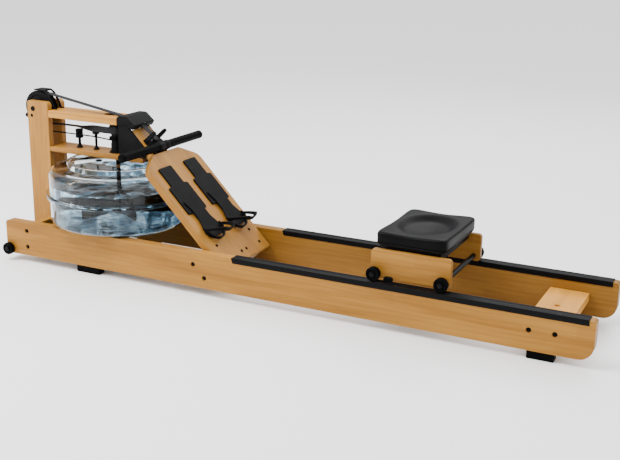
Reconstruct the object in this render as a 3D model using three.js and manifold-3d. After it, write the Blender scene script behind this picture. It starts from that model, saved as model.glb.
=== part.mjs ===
// A water rowing machine: two long timber rails on rubber feet, a rolling seat, a clear water
// tank with a paddle, a belt drive over two pulleys and a sloping footboard with heel cups.
// Millimetres, +Z up, +X from the tank end towards the tail, the near rail at -Y.
import * as THREE from "three";
import { mergeVertices } from "three/addons/utils/BufferGeometryUtils.js";
import Module from "manifold-3d";

const wasm = await Module();
wasm.setup();

// ---- driving dimensions -------------------------------------------------------------------
const GAP = 0.3;

// side rails
const RAIL_LENGTH = 2100;
const RAIL_BOTTOM = 25;
const RAIL_TOP = 145.6;
const RAIL_OUTER = 197.7;
const RAIL_INNER = 161.7;
const TRACK_START = 938;
const TRACK_END = 2081;
const TRACK_TOP = 148;
const TRACK_LIP = 15;

// front tower
const TOWER_DEPTH = 94;
const TOWER_TOP = 558;
const TOWER_HALF = 48;
const UPRIGHT_THICKNESS = 24;
const CROSS_FRONT = 76;
const CROSS_BACK = 112;
const CROSS_TOP = 138;
const TOP_PLANK = { end: 416, bottom: 503.5, top: 529.1 };
const MID_PLANK = { end: 500, bottom: 380.2, top: 397.3 };

// water tank and its shaft
const TANK_X = 360;
const TANK_RADIUS = 245;
const FLANGE_RADIUS = 255;
const SEAM_HEIGHT = 252;
const WATER_LEVEL = 300;
const SHAFT_RADIUS = 8;

// belt drive
const FRONT_PULLEY = { x: 26, z: 530, radius: 56.2 };
const REAR_ROLLER = { x: 447, z: 505, radius: 14 };
const BELT_THICKNESS = 2.4;
const BELT_HALF = 12;
const DRUM_RADIUS = 23;
const COIL_RADIUS = 28;
const COIL_HEIGHT = 478;

// sloping footboard: s runs down the slope, h is the height square to it
const SLOPE = THREE.MathUtils.degToRad(45.6);
const BOARD_TOP = 699;
const BOARD_BOTTOM = 675;
const NECK_BOTTOM = 652;
const FOOTREST_Y = 76;
const HANDLE = { s: 71, h: 701, half: 241 };

// seat
const SEAT_WHEEL_RADIUS = 22;
const SEAT_WHEEL_Z = TRACK_TOP + GAP + SEAT_WHEEL_RADIUS;
const SEAT_AXLES = [1426, 1642];
const SEAT_WHEEL_Y = [171, 190];
const CARRIAGE = { start: 1408, end: 1664, bottom: 153, top: 243, inner: 141, outer: 159 };

// transport wheels
const TRANSPORT = { x: 15, z: 43, radius: 22 };

// ---- materials ----------------------------------------------------------------------------
const OAK = [0.60, 0.38, 0.17];
const BLACK = [0.025, 0.025, 0.028];
const LOOKS = {
  oak: { color: OAK, roughness: 0.5, metalness: 0 },
  plastic: { color: BLACK, roughness: 0.55, metalness: 0 },
  rubber: { color: [0.02, 0.02, 0.02], roughness: 0.85, metalness: 0 },
  anodised: { color: [0.03, 0.03, 0.032], roughness: 0.4, metalness: 0.6 },
  steel: { color: [0.35, 0.35, 0.36], roughness: 0.35, metalness: 1 },
  webbing: { color: [0.02, 0.02, 0.022], roughness: 0.8, metalness: 0 },
  leather: { color: [0.022, 0.022, 0.024], roughness: 0.45, metalness: 0 },
  clear: { color: [0.85, 0.92, 0.95], roughness: 0.05, metalness: 0, transparent: true, opacity: 0.3 },
  water: { color: [0.25, 0.55, 0.8], roughness: 0.05, metalness: 0, transparent: true, opacity: 0.6 },
};

const machine = new THREE.Group();
machine.name = "rowing_machine";

function add(name, geometry, look) {
  const { color, ...rest } = LOOKS[look];
  const material = new THREE.MeshStandardMaterial({ ...rest, name: look });
  material.color.setRGB(...color);
  const mesh = new THREE.Mesh(geometry, material);
  mesh.name = name;
  machine.add(mesh);
}

// ---- outlines and solids ------------------------------------------------------------------
// Corners are [a, b] or [a, b, radius]; a radius turns the corner into a short arc.
function outline(corners, steps = 4) {
  const points = [];
  corners.forEach((corner, index) => {
    const here = new THREE.Vector2(corner[0], corner[1]);
    const radius = corner[2] ?? 0;
    if (radius === 0) {
      points.push(here);
      return;
    }
    const before = corners[(index + corners.length - 1) % corners.length];
    const after = corners[(index + 1) % corners.length];
    const back = new THREE.Vector2(before[0], before[1]).sub(here).normalize();
    const ahead = new THREE.Vector2(after[0], after[1]).sub(here).normalize();
    const half = Math.acos(THREE.MathUtils.clamp(back.dot(ahead), -1, 1)) / 2;
    const reach = radius / Math.tan(half);
    const middle = back.clone().add(ahead).normalize().multiplyScalar(radius / Math.sin(half)).add(here);
    const first = back.clone().multiplyScalar(reach).add(here).sub(middle);
    const last = ahead.clone().multiplyScalar(reach).add(here).sub(middle);
    const start = first.angle();
    let turn = last.angle() - start;
    if (turn > Math.PI) turn -= 2 * Math.PI;
    if (turn < -Math.PI) turn += 2 * Math.PI;
    for (let step = 0; step <= steps; step += 1) {
      const angle = start + (turn * step) / steps;
      points.push(new THREE.Vector2(middle.x + radius * Math.cos(angle), middle.y + radius * Math.sin(angle)));
    }
  });
  return points;
}

function circle(x, y, radius, steps = 16) {
  const path = new THREE.Path();
  const points = [];
  for (let step = 0; step < steps; step += 1) {
    const angle = (2 * Math.PI * step) / steps;
    points.push(new THREE.Vector2(x + radius * Math.cos(angle), y + radius * Math.sin(angle)));
  }
  path.setFromPoints(points);
  return path;
}

function extrude(points, depth, bevel, holes) {
  const shape = new THREE.Shape(points);
  shape.holes = holes;
  const geometry = new THREE.ExtrudeGeometry(shape, {
    depth: depth - 2 * bevel,
    bevelEnabled: bevel > 0,
    bevelThickness: bevel,
    bevelSize: bevel,
    bevelOffset: -bevel,
    bevelSegments: 1,
    curveSegments: 8,
  });
  return geometry.translate(0, 0, bevel);
}

// outline in X and Z, run along Y from y0 to y1
function sidePrism(points, y0, y1, bevel = 0, holes = []) {
  const geometry = extrude(points, y1 - y0, bevel, holes);
  const axes = new THREE.Matrix4().makeBasis(
    new THREE.Vector3(1, 0, 0),
    new THREE.Vector3(0, 0, 1),
    new THREE.Vector3(0, -1, 0),
  );
  return geometry.applyMatrix4(axes).translate(0, y1, 0);
}

// outline in X and Y, run up from z0 to z1
function flatPrism(points, z0, z1, bevel = 0, holes = []) {
  return extrude(points, z1 - z0, bevel, holes).translate(0, 0, z0);
}

const DOWN_SLOPE = new THREE.Vector3(Math.cos(SLOPE), 0, -Math.sin(SLOPE));
const OFF_SLOPE = new THREE.Vector3(Math.sin(SLOPE), 0, Math.cos(SLOPE));

function onSlope(s, h) {
  return DOWN_SLOPE.clone().multiplyScalar(s).addScaledVector(OFF_SLOPE, h);
}

// outline in s and Y, run square to the slope from h0 to h1
function slopePrism(points, h0, h1, bevel = 0, holes = []) {
  const axes = new THREE.Matrix4().makeBasis(DOWN_SLOPE, new THREE.Vector3(0, 1, 0), OFF_SLOPE);
  return extrude(points, h1 - h0, bevel, holes).translate(0, 0, h0).applyMatrix4(axes);
}

// outline in s and h, run along Y from y0 to y1
function slopeSidePrism(points, y0, y1, bevel = 0) {
  const axes = new THREE.Matrix4().makeBasis(DOWN_SLOPE, OFF_SLOPE, new THREE.Vector3(0, -1, 0));
  return extrude(points, y1 - y0, bevel, []).applyMatrix4(axes).translate(0, y1, 0);
}

function rectangle(a0, a1, b0, b1, radius = 0) {
  return outline([[a0, b0, radius], [a1, b0, radius], [a1, b1, radius], [a0, b1, radius]]);
}

function block(x0, x1, y0, y1, z0, z1) {
  const geometry = new THREE.BoxGeometry(x1 - x0, y1 - y0, z1 - z0);
  return geometry.translate((x0 + x1) / 2, (y0 + y1) / 2, (z0 + z1) / 2);
}

// profile of [radius, height] turned about a vertical line
function turned(profile, x, y, steps) {
  const points = profile.map(([radius, height]) => new THREE.Vector2(radius, height));
  return new THREE.LatheGeometry(points, steps).rotateX(Math.PI / 2).translate(x, y, 0);
}

// profile of [radius, along] turned about a line along Y
function turnedAcross(profile, x, z, steps) {
  const points = profile.map(([radius, along]) => new THREE.Vector2(radius, along));
  return new THREE.LatheGeometry(points, steps).translate(x, 0, z);
}

// ring of rectangular section about a line along Y
function ringAcross(inner, outer, y0, y1, x, z, steps, chamfer = 0) {
  const profile = [
    [inner, y0],
    [outer - chamfer, y0],
    [outer, y0 + chamfer],
    [outer, y1 - chamfer],
    [outer - chamfer, y1],
    [inner, y1],
    [inner, y0],
  ];
  return turnedAcross(profile, x, z, steps);
}

function rod(from, to, radius, steps = 12) {
  const span = to.clone().sub(from);
  const geometry = new THREE.CylinderGeometry(radius, radius, span.length(), steps);
  const turn = new THREE.Quaternion().setFromUnitVectors(new THREE.Vector3(0, 1, 0), span.clone().normalize());
  const middle = from.clone().add(to).multiplyScalar(0.5);
  return geometry.applyQuaternion(turn).translate(middle.x, middle.y, middle.z);
}

// ---- booleans -----------------------------------------------------------------------------
function toManifold(geometry) {
  const bare = new THREE.BufferGeometry();
  bare.setAttribute("position", geometry.getAttribute("position").clone());
  if (geometry.index) bare.setIndex(geometry.index.clone());
  const merged = mergeVertices(bare, 1e-4);
  const position = merged.getAttribute("position");
  const corners = [];
  for (let i = 0; i < merged.index.count; i += 3) {
    const a = merged.index.getX(i);
    const b = merged.index.getX(i + 1);
    const c = merged.index.getX(i + 2);
    if (a !== b && b !== c && a !== c) corners.push(a, b, c);
  }
  return new wasm.Manifold(new wasm.Mesh({
    numProp: 3,
    vertProperties: Float32Array.from(position.array),
    triVerts: Uint32Array.from(corners),
  }));
}

function fromManifold(solid) {
  const mesh = solid.getMesh();
  const geometry = new THREE.BufferGeometry();
  geometry.setAttribute("position", new THREE.BufferAttribute(Float32Array.from(mesh.vertProperties), 3));
  geometry.setIndex(new THREE.BufferAttribute(Uint32Array.from(mesh.triVerts), 1));
  geometry.computeVertexNormals();
  return geometry;
}

function join(...geometries) {
  return fromManifold(geometries.map(toManifold).reduce((sum, next) => sum.add(next)));
}

function cut(geometry, ...tools) {
  return fromManifold(tools.map(toManifold).reduce((rest, tool) => rest.subtract(tool), toManifold(geometry)));
}

// ---- side rails, tracks, feet and transport wheels ----------------------------------------
const railOutline = outline([
  [0, RAIL_BOTTOM, 10],
  [RAIL_LENGTH, RAIL_BOTTOM, 45],
  [RAIL_LENGTH, RAIL_TOP, 10],
  [0, RAIL_TOP, 10],
], 5);

const footOutline = (start, end) => outline([
  [start, 0, 2],
  [end, 0, 2],
  [end, RAIL_BOTTOM - GAP],
  [start, RAIL_BOTTOM - GAP],
]);

for (const [side, sign] of [["near", -1], ["far", 1]]) {
  const across = (low, high) => (sign < 0 ? [-high, -low] : [low, high]);

  const axleHole = circle(TRANSPORT.x, TRANSPORT.z, 5 + GAP);
  add(`side_board_${side}`, sidePrism(railOutline, ...across(RAIL_INNER, RAIL_OUTER), 1.5, [axleHole]), "oak");

  const trackSection = outline([
    [RAIL_INNER - 1.9, RAIL_TOP - TRACK_LIP],
    [RAIL_INNER - GAP, RAIL_TOP - TRACK_LIP],
    [RAIL_INNER - GAP, RAIL_TOP + GAP],
    [RAIL_OUTER + GAP, RAIL_TOP + GAP],
    [RAIL_OUTER + GAP, RAIL_TOP - TRACK_LIP],
    [RAIL_OUTER + 1.9, RAIL_TOP - TRACK_LIP],
    [RAIL_OUTER + 1.9, TRACK_TOP, 1.2],
    [RAIL_INNER - 1.9, TRACK_TOP, 1.2],
  ], 2).map((point) => new THREE.Vector2(sign * point.x, point.y));
  const alongX = new THREE.Matrix4().makeBasis(
    new THREE.Vector3(0, 1, 0),
    new THREE.Vector3(0, 0, 1),
    new THREE.Vector3(1, 0, 0),
  );
  const trackBar = extrude(trackSection, TRACK_END - TRACK_START, 0, []).applyMatrix4(alongX);
  const nose = sidePrism(outline([[-1, 130], [6, 130], [-1, 152]]), ...across(150, 210));
  add(`track_${side}`, cut(trackBar, nose).translate(TRACK_START, 0, 0), "anodised");

  add(`front_foot_${side}`, sidePrism(footOutline(310, 405), ...across(164, 195)), "rubber");
  add(`rear_foot_${side}`, sidePrism(footOutline(1912, 1992), ...across(164, 195)), "rubber");

  const wheel = ringAcross(
    5 + GAP, TRANSPORT.radius, ...across(RAIL_OUTER + 2, RAIL_OUTER + 20),
    TRANSPORT.x, TRANSPORT.z, 24, 2.5,
  );
  add(`transport_wheel_${side}`, wheel, "rubber");
}

add("transport_axle", turnedAcross([
  [0, -(RAIL_OUTER + 23.5)],
  [8, -(RAIL_OUTER + 23.5)],
  [8, -(RAIL_OUTER + 20.5)],
  [5, -(RAIL_OUTER + 20.5)],
  [5, RAIL_OUTER + 20.5],
  [8, RAIL_OUTER + 20.5],
  [8, RAIL_OUTER + 23.5],
  [0, RAIL_OUTER + 23.5],
], TRANSPORT.x, TRANSPORT.z, 12), "steel");

const betweenRails = [-(RAIL_INNER - GAP), RAIL_INNER - GAP];
add("front_cross_board", sidePrism(
  rectangle(CROSS_FRONT, CROSS_BACK, 36, CROSS_TOP), ...betweenRails, 1.2,
), "oak");
add("tail_cross_board", sidePrism(
  rectangle(1892, 2014, 74, 101), ...betweenRails, 1.2,
), "oak");

// ---- front tower --------------------------------------------------------------------------
const uprightOutline = outline([
  [0, 48],
  [CROSS_FRONT - GAP, 48],
  [CROSS_FRONT - GAP, CROSS_TOP + GAP],
  [TOWER_DEPTH, CROSS_TOP + GAP],
  [TOWER_DEPTH, TOWER_TOP, 16],
  [0, TOWER_TOP, 8],
]);
for (const [side, sign] of [["near", -1], ["far", 1]]) {
  const faces = [sign * TOWER_HALF, sign * (TOWER_HALF - UPRIGHT_THICKNESS)].sort((a, b) => a - b);
  const axleHole = circle(FRONT_PULLEY.x, FRONT_PULLEY.z, 5 + GAP);
  add(`upright_${side}`, sidePrism(uprightOutline, ...faces, 1.2, [axleHole]), "oak");
}

const plankStart = TOWER_DEPTH + GAP;
const beltSlot = block(384, 420, -14.5, 14.5, 490, 540);
const topSlot = flatPrism(rectangle(314, 342, -8, 8, 5), 490, 540);
const topPlank = sidePrism(
  rectangle(plankStart, TOP_PLANK.end, TOP_PLANK.bottom, TOP_PLANK.top), -TOWER_HALF, TOWER_HALF, 1.2,
);
add("top_plank", cut(topPlank, beltSlot, topSlot), "oak");
const midPlank = sidePrism(
  rectangle(plankStart, MID_PLANK.end, MID_PLANK.bottom, MID_PLANK.top), -TOWER_HALF, TOWER_HALF, 1.2,
);
const shaftHole = new THREE.CylinderGeometry(14, 14, 60, 20).rotateX(Math.PI / 2).translate(TANK_X, 0, 390);
add("mid_plank", cut(midPlank, shaftHole), "oak");

// ---- water tank ---------------------------------------------------------------------------
const innerRadius = TANK_RADIUS - 4;
add("tank_lower_shell", turned([
  [0, RAIL_TOP + GAP],
  [224, RAIL_TOP + GAP],
  [236, 151],
  [243, 160],
  [TANK_RADIUS, 171],
  [TANK_RADIUS, SEAM_HEIGHT - 7],
  [FLANGE_RADIUS, SEAM_HEIGHT - 7],
  [FLANGE_RADIUS, SEAM_HEIGHT - GAP / 2],
  [innerRadius, SEAM_HEIGHT - GAP / 2],
  [innerRadius, 172],
  [239, 162],
  [233, 154.5],
  [223, 150],
  [0, 150],
], TANK_X, 0, 32), "clear");
add("tank_upper_shell", turned([
  [FLANGE_RADIUS, SEAM_HEIGHT + GAP / 2],
  [FLANGE_RADIUS, SEAM_HEIGHT + 7],
  [TANK_RADIUS, SEAM_HEIGHT + 7],
  [TANK_RADIUS, 326],
  [240, 339],
  [231, 347],
  [219, 350],
  [186, 350],
  [181, 353],
  [178, 372],
  [12.5, 372],
  [12.5, 368],
  [174, 368],
  [177.5, 350],
  [184.5, 346],
  [218, 346],
  [228.5, 343.5],
  [236.5, 336.5],
  [innerRadius, 325],
  [innerRadius, SEAM_HEIGHT + GAP / 2],
  [FLANGE_RADIUS, SEAM_HEIGHT + GAP / 2],
], TANK_X, 0, 32), "clear");

const paddleRadius = 178;
const paddleRoom = 186;
add("tank_water", turned([
  [0, 150.4],
  [222.6, 150.4],
  [232.7, 155],
  [238.5, 162.4],
  [innerRadius - 0.4, 172.4],
  [innerRadius - 0.4, WATER_LEVEL],
  [paddleRoom, WATER_LEVEL],
  [paddleRoom, 178],
  [0, 178],
], TANK_X, 0, 32), "water");
add("tank_filler_plug", turned([
  [0, 372.3],
  [12, 372.3],
  [12, 376],
  [10, 378],
  [0, 378],
], TANK_X - 37, -63, 16), "plastic");

const shaft = turned([[0, 182], [SHAFT_RADIUS, 182], [SHAFT_RADIUS, 503], [0, 503]], TANK_X, 0, 12);
const hub = turned([[0, 186], [26, 186], [26, 240], [0, 240]], TANK_X, 0, 16);
const blades = [0, 1, 2, 3, 4, 5].map((index) => (
  block(18, paddleRadius, -2, 2, 190, 236).rotateZ((index * Math.PI) / 3 + 0.35).translate(TANK_X, 0, 0)
));
add("paddle", join(shaft, hub, ...blades), "plastic");

// ---- belt drive ---------------------------------------------------------------------------
const bore = SHAFT_RADIUS + GAP;
add("drum_base_bearing", turned([
  [bore, MID_PLANK.top + GAP],
  [30, MID_PLANK.top + GAP],
  [28, 401],
  [bore, 401],
  [bore, MID_PLANK.top + GAP],
], TANK_X, 0, 20), "plastic");
add("recoil_drum", turned([
  [bore, 401.4],
  [26, 401.4],
  [26, 404],
  [DRUM_RADIUS, 405],
  [DRUM_RADIUS, 492],
  [26, 493],
  [26, 496],
  [bore, 496],
  [bore, 401.4],
], TANK_X, 0, 24), "plastic");

add("front_pulley", turnedAcross([
  [5 + GAP, -18],
  [14, -18],
  [14, -15.5],
  [59.5, -15.5],
  [60.5, -13],
  [FRONT_PULLEY.radius, -12.6],
  [FRONT_PULLEY.radius, 12.6],
  [60.5, 13],
  [59.5, 15.5],
  [14, 15.5],
  [14, 18],
  [5 + GAP, 18],
  [5 + GAP, -18],
], FRONT_PULLEY.x, FRONT_PULLEY.z, 32), "plastic");
add("front_pulley_axle", turnedAcross([
  [0, -52],
  [9, -52],
  [9, -TOWER_HALF - GAP],
  [5, -TOWER_HALF - GAP],
  [5, TOWER_HALF + GAP],
  [9, TOWER_HALF + GAP],
  [9, 52],
  [0, 52],
], FRONT_PULLEY.x, FRONT_PULLEY.z, 12), "steel");
add("rear_roller", turnedAcross([
  [0, -50],
  [4, -50],
  [4, -16],
  [16.5, -16],
  [16.5, -13],
  [REAR_ROLLER.radius, -12.6],
  [REAR_ROLLER.radius, 12.6],
  [16.5, 13],
  [16.5, 16],
  [4, 16],
  [4, 50],
  [0, 50],
], REAR_ROLLER.x, REAR_ROLLER.z, 20), "steel");

const guardOutline = outline([
  [96, TOP_PLANK.top + GAP],
  [113, TOP_PLANK.top + GAP],
  [113, 533],
  [102, 533],
  [91, 562],
  [73, 587],
  [58, 597, 6],
  [12, 597, 3],
  [12, 592],
  [56, 592],
  [67, 583],
  [85, 558],
], 3);
add("belt_guard", cut(sidePrism(guardOutline, -21, 21), block(58, 130, -16.5, 16.5, 500, 620)), "plastic");

// belt centre line: round the front pulley, along the top run and over the rear roller
const beltOffset = GAP + BELT_THICKNESS / 2;
const wrapFront = FRONT_PULLEY.radius + beltOffset;
const wrapRear = REAR_ROLLER.radius + beltOffset;
const spanX = REAR_ROLLER.x - FRONT_PULLEY.x;
const spanZ = REAR_ROLLER.z - FRONT_PULLEY.z;
const spanAngle = Math.atan2(spanZ, spanX);
const leanAngle = Math.asin((wrapFront - wrapRear) / Math.hypot(spanX, spanZ));
const topNormal = spanAngle - leanAngle + Math.PI / 2;

function arcPoints(centre, radius, from, to, steps) {
  const points = [];
  for (let step = 0; step <= steps; step += 1) {
    const angle = from + ((to - from) * step) / steps;
    points.push({
      x: centre.x + radius * Math.cos(angle),
      z: centre.z + radius * Math.sin(angle),
      angle,
    });
  }
  return points;
}

const lug = onSlope(HANDLE.s - 28, HANDLE.h);
const lugDistance = Math.hypot(lug.x - REAR_ROLLER.x, lug.z - REAR_ROLLER.z);
const lugAngle = Math.atan2(lug.z - REAR_ROLLER.z, lug.x - REAR_ROLLER.x);
const exitNormal = lugAngle + Math.acos(wrapRear / lugDistance);

const beltLine = [
  ...arcPoints(FRONT_PULLEY, wrapFront, 1.5 * Math.PI, topNormal, 18),
  ...arcPoints(REAR_ROLLER, wrapRear, topNormal, exitNormal, 4),
];
function beltOutline(line) {
  const side = (distance) => line.map((point) => new THREE.Vector2(
    point.x + distance * Math.cos(point.angle),
    point.z + distance * Math.sin(point.angle),
  ));
  return [...side(BELT_THICKNESS / 2), ...side(-BELT_THICKNESS / 2).reverse()];
}
add("belt_top_run", sidePrism(beltOutline(beltLine), -BELT_HALF, BELT_HALF), "webbing");

const exit = {
  x: REAR_ROLLER.x + wrapRear * Math.cos(exitNormal),
  z: REAR_ROLLER.z + wrapRear * Math.sin(exitNormal),
};
const pull = new THREE.Vector2(lug.x - exit.x, lug.z - exit.z).normalize();
const handleLine = [
  { x: exit.x + GAP * pull.x, z: exit.z + GAP * pull.y, angle: exitNormal },
  { x: lug.x - GAP * pull.x, z: lug.z - GAP * pull.y, angle: exitNormal },
];
add("belt_handle_run", sidePrism(beltOutline(handleLine), -BELT_HALF, BELT_HALF), "webbing");

// lower run: leaves the pulley lying flat and turns on edge to meet the drum
function twistedStrip(stations) {
  const positions = [];
  const triangles = [];
  for (const { centre, wide, thick } of stations) {
    for (const [a, b] of [[-1, -1], [1, -1], [1, 1], [-1, 1]]) {
      const corner = centre.clone().addScaledVector(wide, a).addScaledVector(thick, b);
      positions.push(corner.x, corner.y, corner.z);
    }
  }
  for (let ring = 0; ring + 1 < stations.length; ring += 1) {
    for (let side = 0; side < 4; side += 1) {
      const a = 4 * ring + side;
      const b = 4 * ring + ((side + 1) % 4);
      // both broad faces are split along the same diagonal, so the belt keeps its thickness
      if (side === 2) triangles.push(a, b, a + 4, b, b + 4, a + 4);
      else triangles.push(a, b, b + 4, a, b + 4, a + 4);
    }
  }
  const last = 4 * (stations.length - 1);
  triangles.push(0, 2, 1, 0, 3, 2, last, last + 1, last + 2, last, last + 2, last + 3);
  const geometry = new THREE.BufferGeometry();
  geometry.setAttribute("position", new THREE.Float32BufferAttribute(positions, 3));
  geometry.setIndex(triangles);
  return geometry;
}

const coilY = -(COIL_RADIUS - BELT_THICKNESS / 2);
const lowerStart = new THREE.Vector3(FRONT_PULLEY.x + GAP, 0, FRONT_PULLEY.z - wrapFront);
const lowerEnd = new THREE.Vector3(TANK_X, coilY, COIL_HEIGHT);
const stations = [];
for (const along of [0, 0.3, 0.45, 0.55, 0.63, 0.7, 0.77, 0.84, 0.9, 1]) {
  const centre = lowerStart.clone().lerp(lowerEnd, along);
  centre.y = coilY * THREE.MathUtils.smoothstep(along, 0.3, 1);
  const quarter = (Math.PI / 2) * THREE.MathUtils.smoothstep(along, 0.5, 0.88);
  stations.push({
    centre,
    wide: new THREE.Vector3(0, Math.cos(quarter), Math.sin(quarter)).multiplyScalar(BELT_HALF),
    thick: new THREE.Vector3(0, -Math.sin(quarter), Math.cos(quarter)).multiplyScalar(BELT_THICKNESS / 2),
  });
}
const coil = turned([
  [DRUM_RADIUS + GAP, COIL_HEIGHT - BELT_HALF],
  [COIL_RADIUS, COIL_HEIGHT - BELT_HALF],
  [COIL_RADIUS, COIL_HEIGHT + BELT_HALF],
  [DRUM_RADIUS + GAP, COIL_HEIGHT + BELT_HALF],
  [DRUM_RADIUS + GAP, COIL_HEIGHT - BELT_HALF],
], TANK_X, 0, 24);
add("belt_lower_run", join(twistedStrip(stations), coil), "webbing");

// shock cord that winds the drum back, with its guide posts
const cordY = -(DRUM_RADIUS + GAP + 3);
const cordZ = 449;
const cordCoil = turned([
  [DRUM_RADIUS + GAP, cordZ - 6],
  [DRUM_RADIUS + GAP + 6, cordZ - 6],
  [DRUM_RADIUS + GAP + 6, cordZ + 6],
  [DRUM_RADIUS + GAP, cordZ + 6],
  [DRUM_RADIUS + GAP, cordZ - 6],
], TANK_X, 0, 24);
const cordRun = rod(new THREE.Vector3(TANK_X, cordY, cordZ), new THREE.Vector3(60, cordY + 7, cordZ), 3, 8);
const cordEnd = turned([[0, cordZ - 7], [6, cordZ - 7], [6, cordZ + 7], [0, cordZ + 7]], 60, cordY + 10, 12);
add("shock_cord", join(cordCoil, cordRun, cordEnd), "rubber");
add("guide_roller", turned([
  [0, MID_PLANK.top + GAP],
  [12, MID_PLANK.top + GAP],
  [5, 410],
  [5, 432],
  [14, 434],
  [14, 464],
  [11, 466],
  [0, 466],
], 196, -4, 16), "plastic");
add("spindle_post", turned([
  [0, MID_PLANK.top + GAP],
  [11, MID_PLANK.top + GAP],
  [9, 402],
  [3.5, 406],
  [3.5, 459],
  [14, 461],
  [14, 466],
  [0, 466],
], 270, -4, 16), "plastic");

// ---- neck, covers and hood ----------------------------------------------------------------
add("neck_board", slopePrism(rectangle(-31, 140, -50, 50, 4), NECK_BOTTOM, BOARD_BOTTOM - GAP, 1.2), "oak");

const neckLine = (x) => (BOARD_BOTTOM - 1 - Math.sin(SLOPE) * x) / Math.cos(SLOPE);
const coverOutline = outline([
  [406, 405, 3],
  [520, 405, 6],
  [520, neckLine(520), 3],
  [452, neckLine(452)],
  [446, 527],
  [406, 531, 3],
]);
for (const [side, y0, y1] of [["near", -57, -51], ["far", 51, 57]]) {
  add(`side_cover_${side}`, sidePrism(coverOutline, y0, y1, 0.8), "plastic");
}

const hoodOuter = outline([
  [403, 506, 3],
  [403, 532, 4],
  [414, 541, 8],
  [446, 541, 12],
  [479, 512, 3],
  [468, 496, 2],
  [440, 513, 4],
], 4);
const hoodInner = outline([
  [406, 480],
  [406, 530],
  [415, 538],
  [445, 538],
  [475, 511.5],
  [465.5, 499],
  [465.5, 480],
]);
const hoodShell = cut(
  sidePrism(hoodOuter, -60.3, 60.3, 1),
  sidePrism(hoodInner, -57.3, 57.3),
  block(398, 410, -48.6, 48.6, 480, TOP_PLANK.top + GAP),
  block(398, 416, -14.5, 14.5, 518, 535.5),
  block(456, 484, -14.5, 14.5, 480, 514),
);
add("belt_hood", hoodShell, "plastic");

// ---- handle and its rest ------------------------------------------------------------------
const restPlate = slopePrism(rectangle(18, 85, -38, 38, 5), BOARD_BOTTOM, 679);
const fingerOutline = outline([[20, 677], [36, 677], [35, 733, 5], [23, 733, 5]], 3);
const fingers = [-37, 27].map((y) => slopeSidePrism(fingerOutline, y, y + 10));
add("handle_rest", join(restPlate, ...fingers), "plastic");

const handleAxis = onSlope(HANDLE.s, HANDLE.h);
add("handle_bar", turnedAcross([
  [0, -236],
  [9, -236],
  [9, 236],
  [0, 236],
], handleAxis.x, handleAxis.z, 16), "steel");
const clampRing = turnedAcross([
  [9 + GAP, -32],
  [15.5, -32],
  [17, -30],
  [17, 30],
  [15.5, 32],
  [9 + GAP, 32],
  [9 + GAP, -32],
], handleAxis.x, handleAxis.z, 20);
const clampLug = slopeSidePrism(
  outline([[HANDLE.s - 28, 695, 3], [HANDLE.s - 14, 693], [HANDLE.s - 14, 707], [HANDLE.s - 28, 705, 3]], 3),
  -15, 15,
);
add("handle_clamp", join(clampRing, clampLug), "plastic");
for (const [side, sign] of [["near", -1], ["far", 1]]) {
  const profile = [
    [0, 236.4],
    [9 + GAP, 236.4],
    [9 + GAP, 32.4],
    [14.5, 32.4],
    [15, 34],
    [15, 238],
    [12, HANDLE.half],
    [0, HANDLE.half],
  ].map(([radius, along]) => [radius, sign * along]);
  if (sign < 0) profile.reverse();
  add(`handle_grip_${side}`, turnedAcross(profile, handleAxis.x, handleAxis.z, 20), "rubber");
}

// ---- footboard, cross block, footrests and heel cups --------------------------------------
add("footboard", slopePrism(outline([
  [91, -80, 20],
  [91, 80, 20],
  [140, 158, 40],
  [563, 158],
  [563, -158],
  [140, -158, 40],
].reverse(), 5), BOARD_BOTTOM, BOARD_TOP, 1.5), "oak");
add("foot_cross_block", slopePrism(
  rectangle(460, 558, ...betweenRails), 620.7, BOARD_BOTTOM - GAP, 1.2,
), "oak");

const mirrored = (half) => [...half.map(([s, y, r]) => [s, -y, r]), ...half.map(([s, y, r]) => [s, y, r]).reverse()];
const restTop = BOARD_TOP + GAP + 6;
const restOutline = outline(mirrored([
  [150, 37, 5],
  [224, 37],
  [228, 56, 6],
  [338, 56, 6],
  [342, 26],
  [430, 26],
]), 3);
const heelOutline = outline(mirrored([
  [292, 44, 3],
  [330, 33, 20],
  [372, 34, 30],
  [420, 52, 14],
  [446, 44, 20],
]), 3);
for (const [side, sign] of [["near", -1], ["far", 1]]) {
  const centre = sign * FOOTREST_Y;
  add(`footrest_${side}`, slopePrism(restOutline, BOARD_TOP + GAP, restTop).translate(0, centre, 0), "plastic");

  const plate = slopePrism(heelOutline, restTop + GAP, restTop + GAP + 4);
  const wallOuter = [];
  const wallInner = [];
  for (let step = 0; step <= 12; step += 1) {
    const angle = -Math.PI / 2 + (Math.PI * step) / 12;
    wallOuter.push(new THREE.Vector2(404.3 + 58 * Math.cos(angle), 52 * Math.sin(angle)));
    wallInner.push(new THREE.Vector2(404.3 + 52.6 * Math.cos(angle), 46.6 * Math.sin(angle)));
  }
  const wall = slopePrism([...wallOuter, ...wallInner.reverse()], restTop + 2, 772);
  const slot = slopeSidePrism(outline([[423, 718], [480, 718], [480, 756], [448.5, 756]]), -60, 60);
  const slant = slopeSidePrism(outline([[380, 713], [380, 790], [460.9, 790], [409, 713.7]]), -80, 80);
  add(`heel_cup_${side}`, join(plate, cut(wall, slot, slant)).translate(0, centre, 0), "plastic");
}

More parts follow.
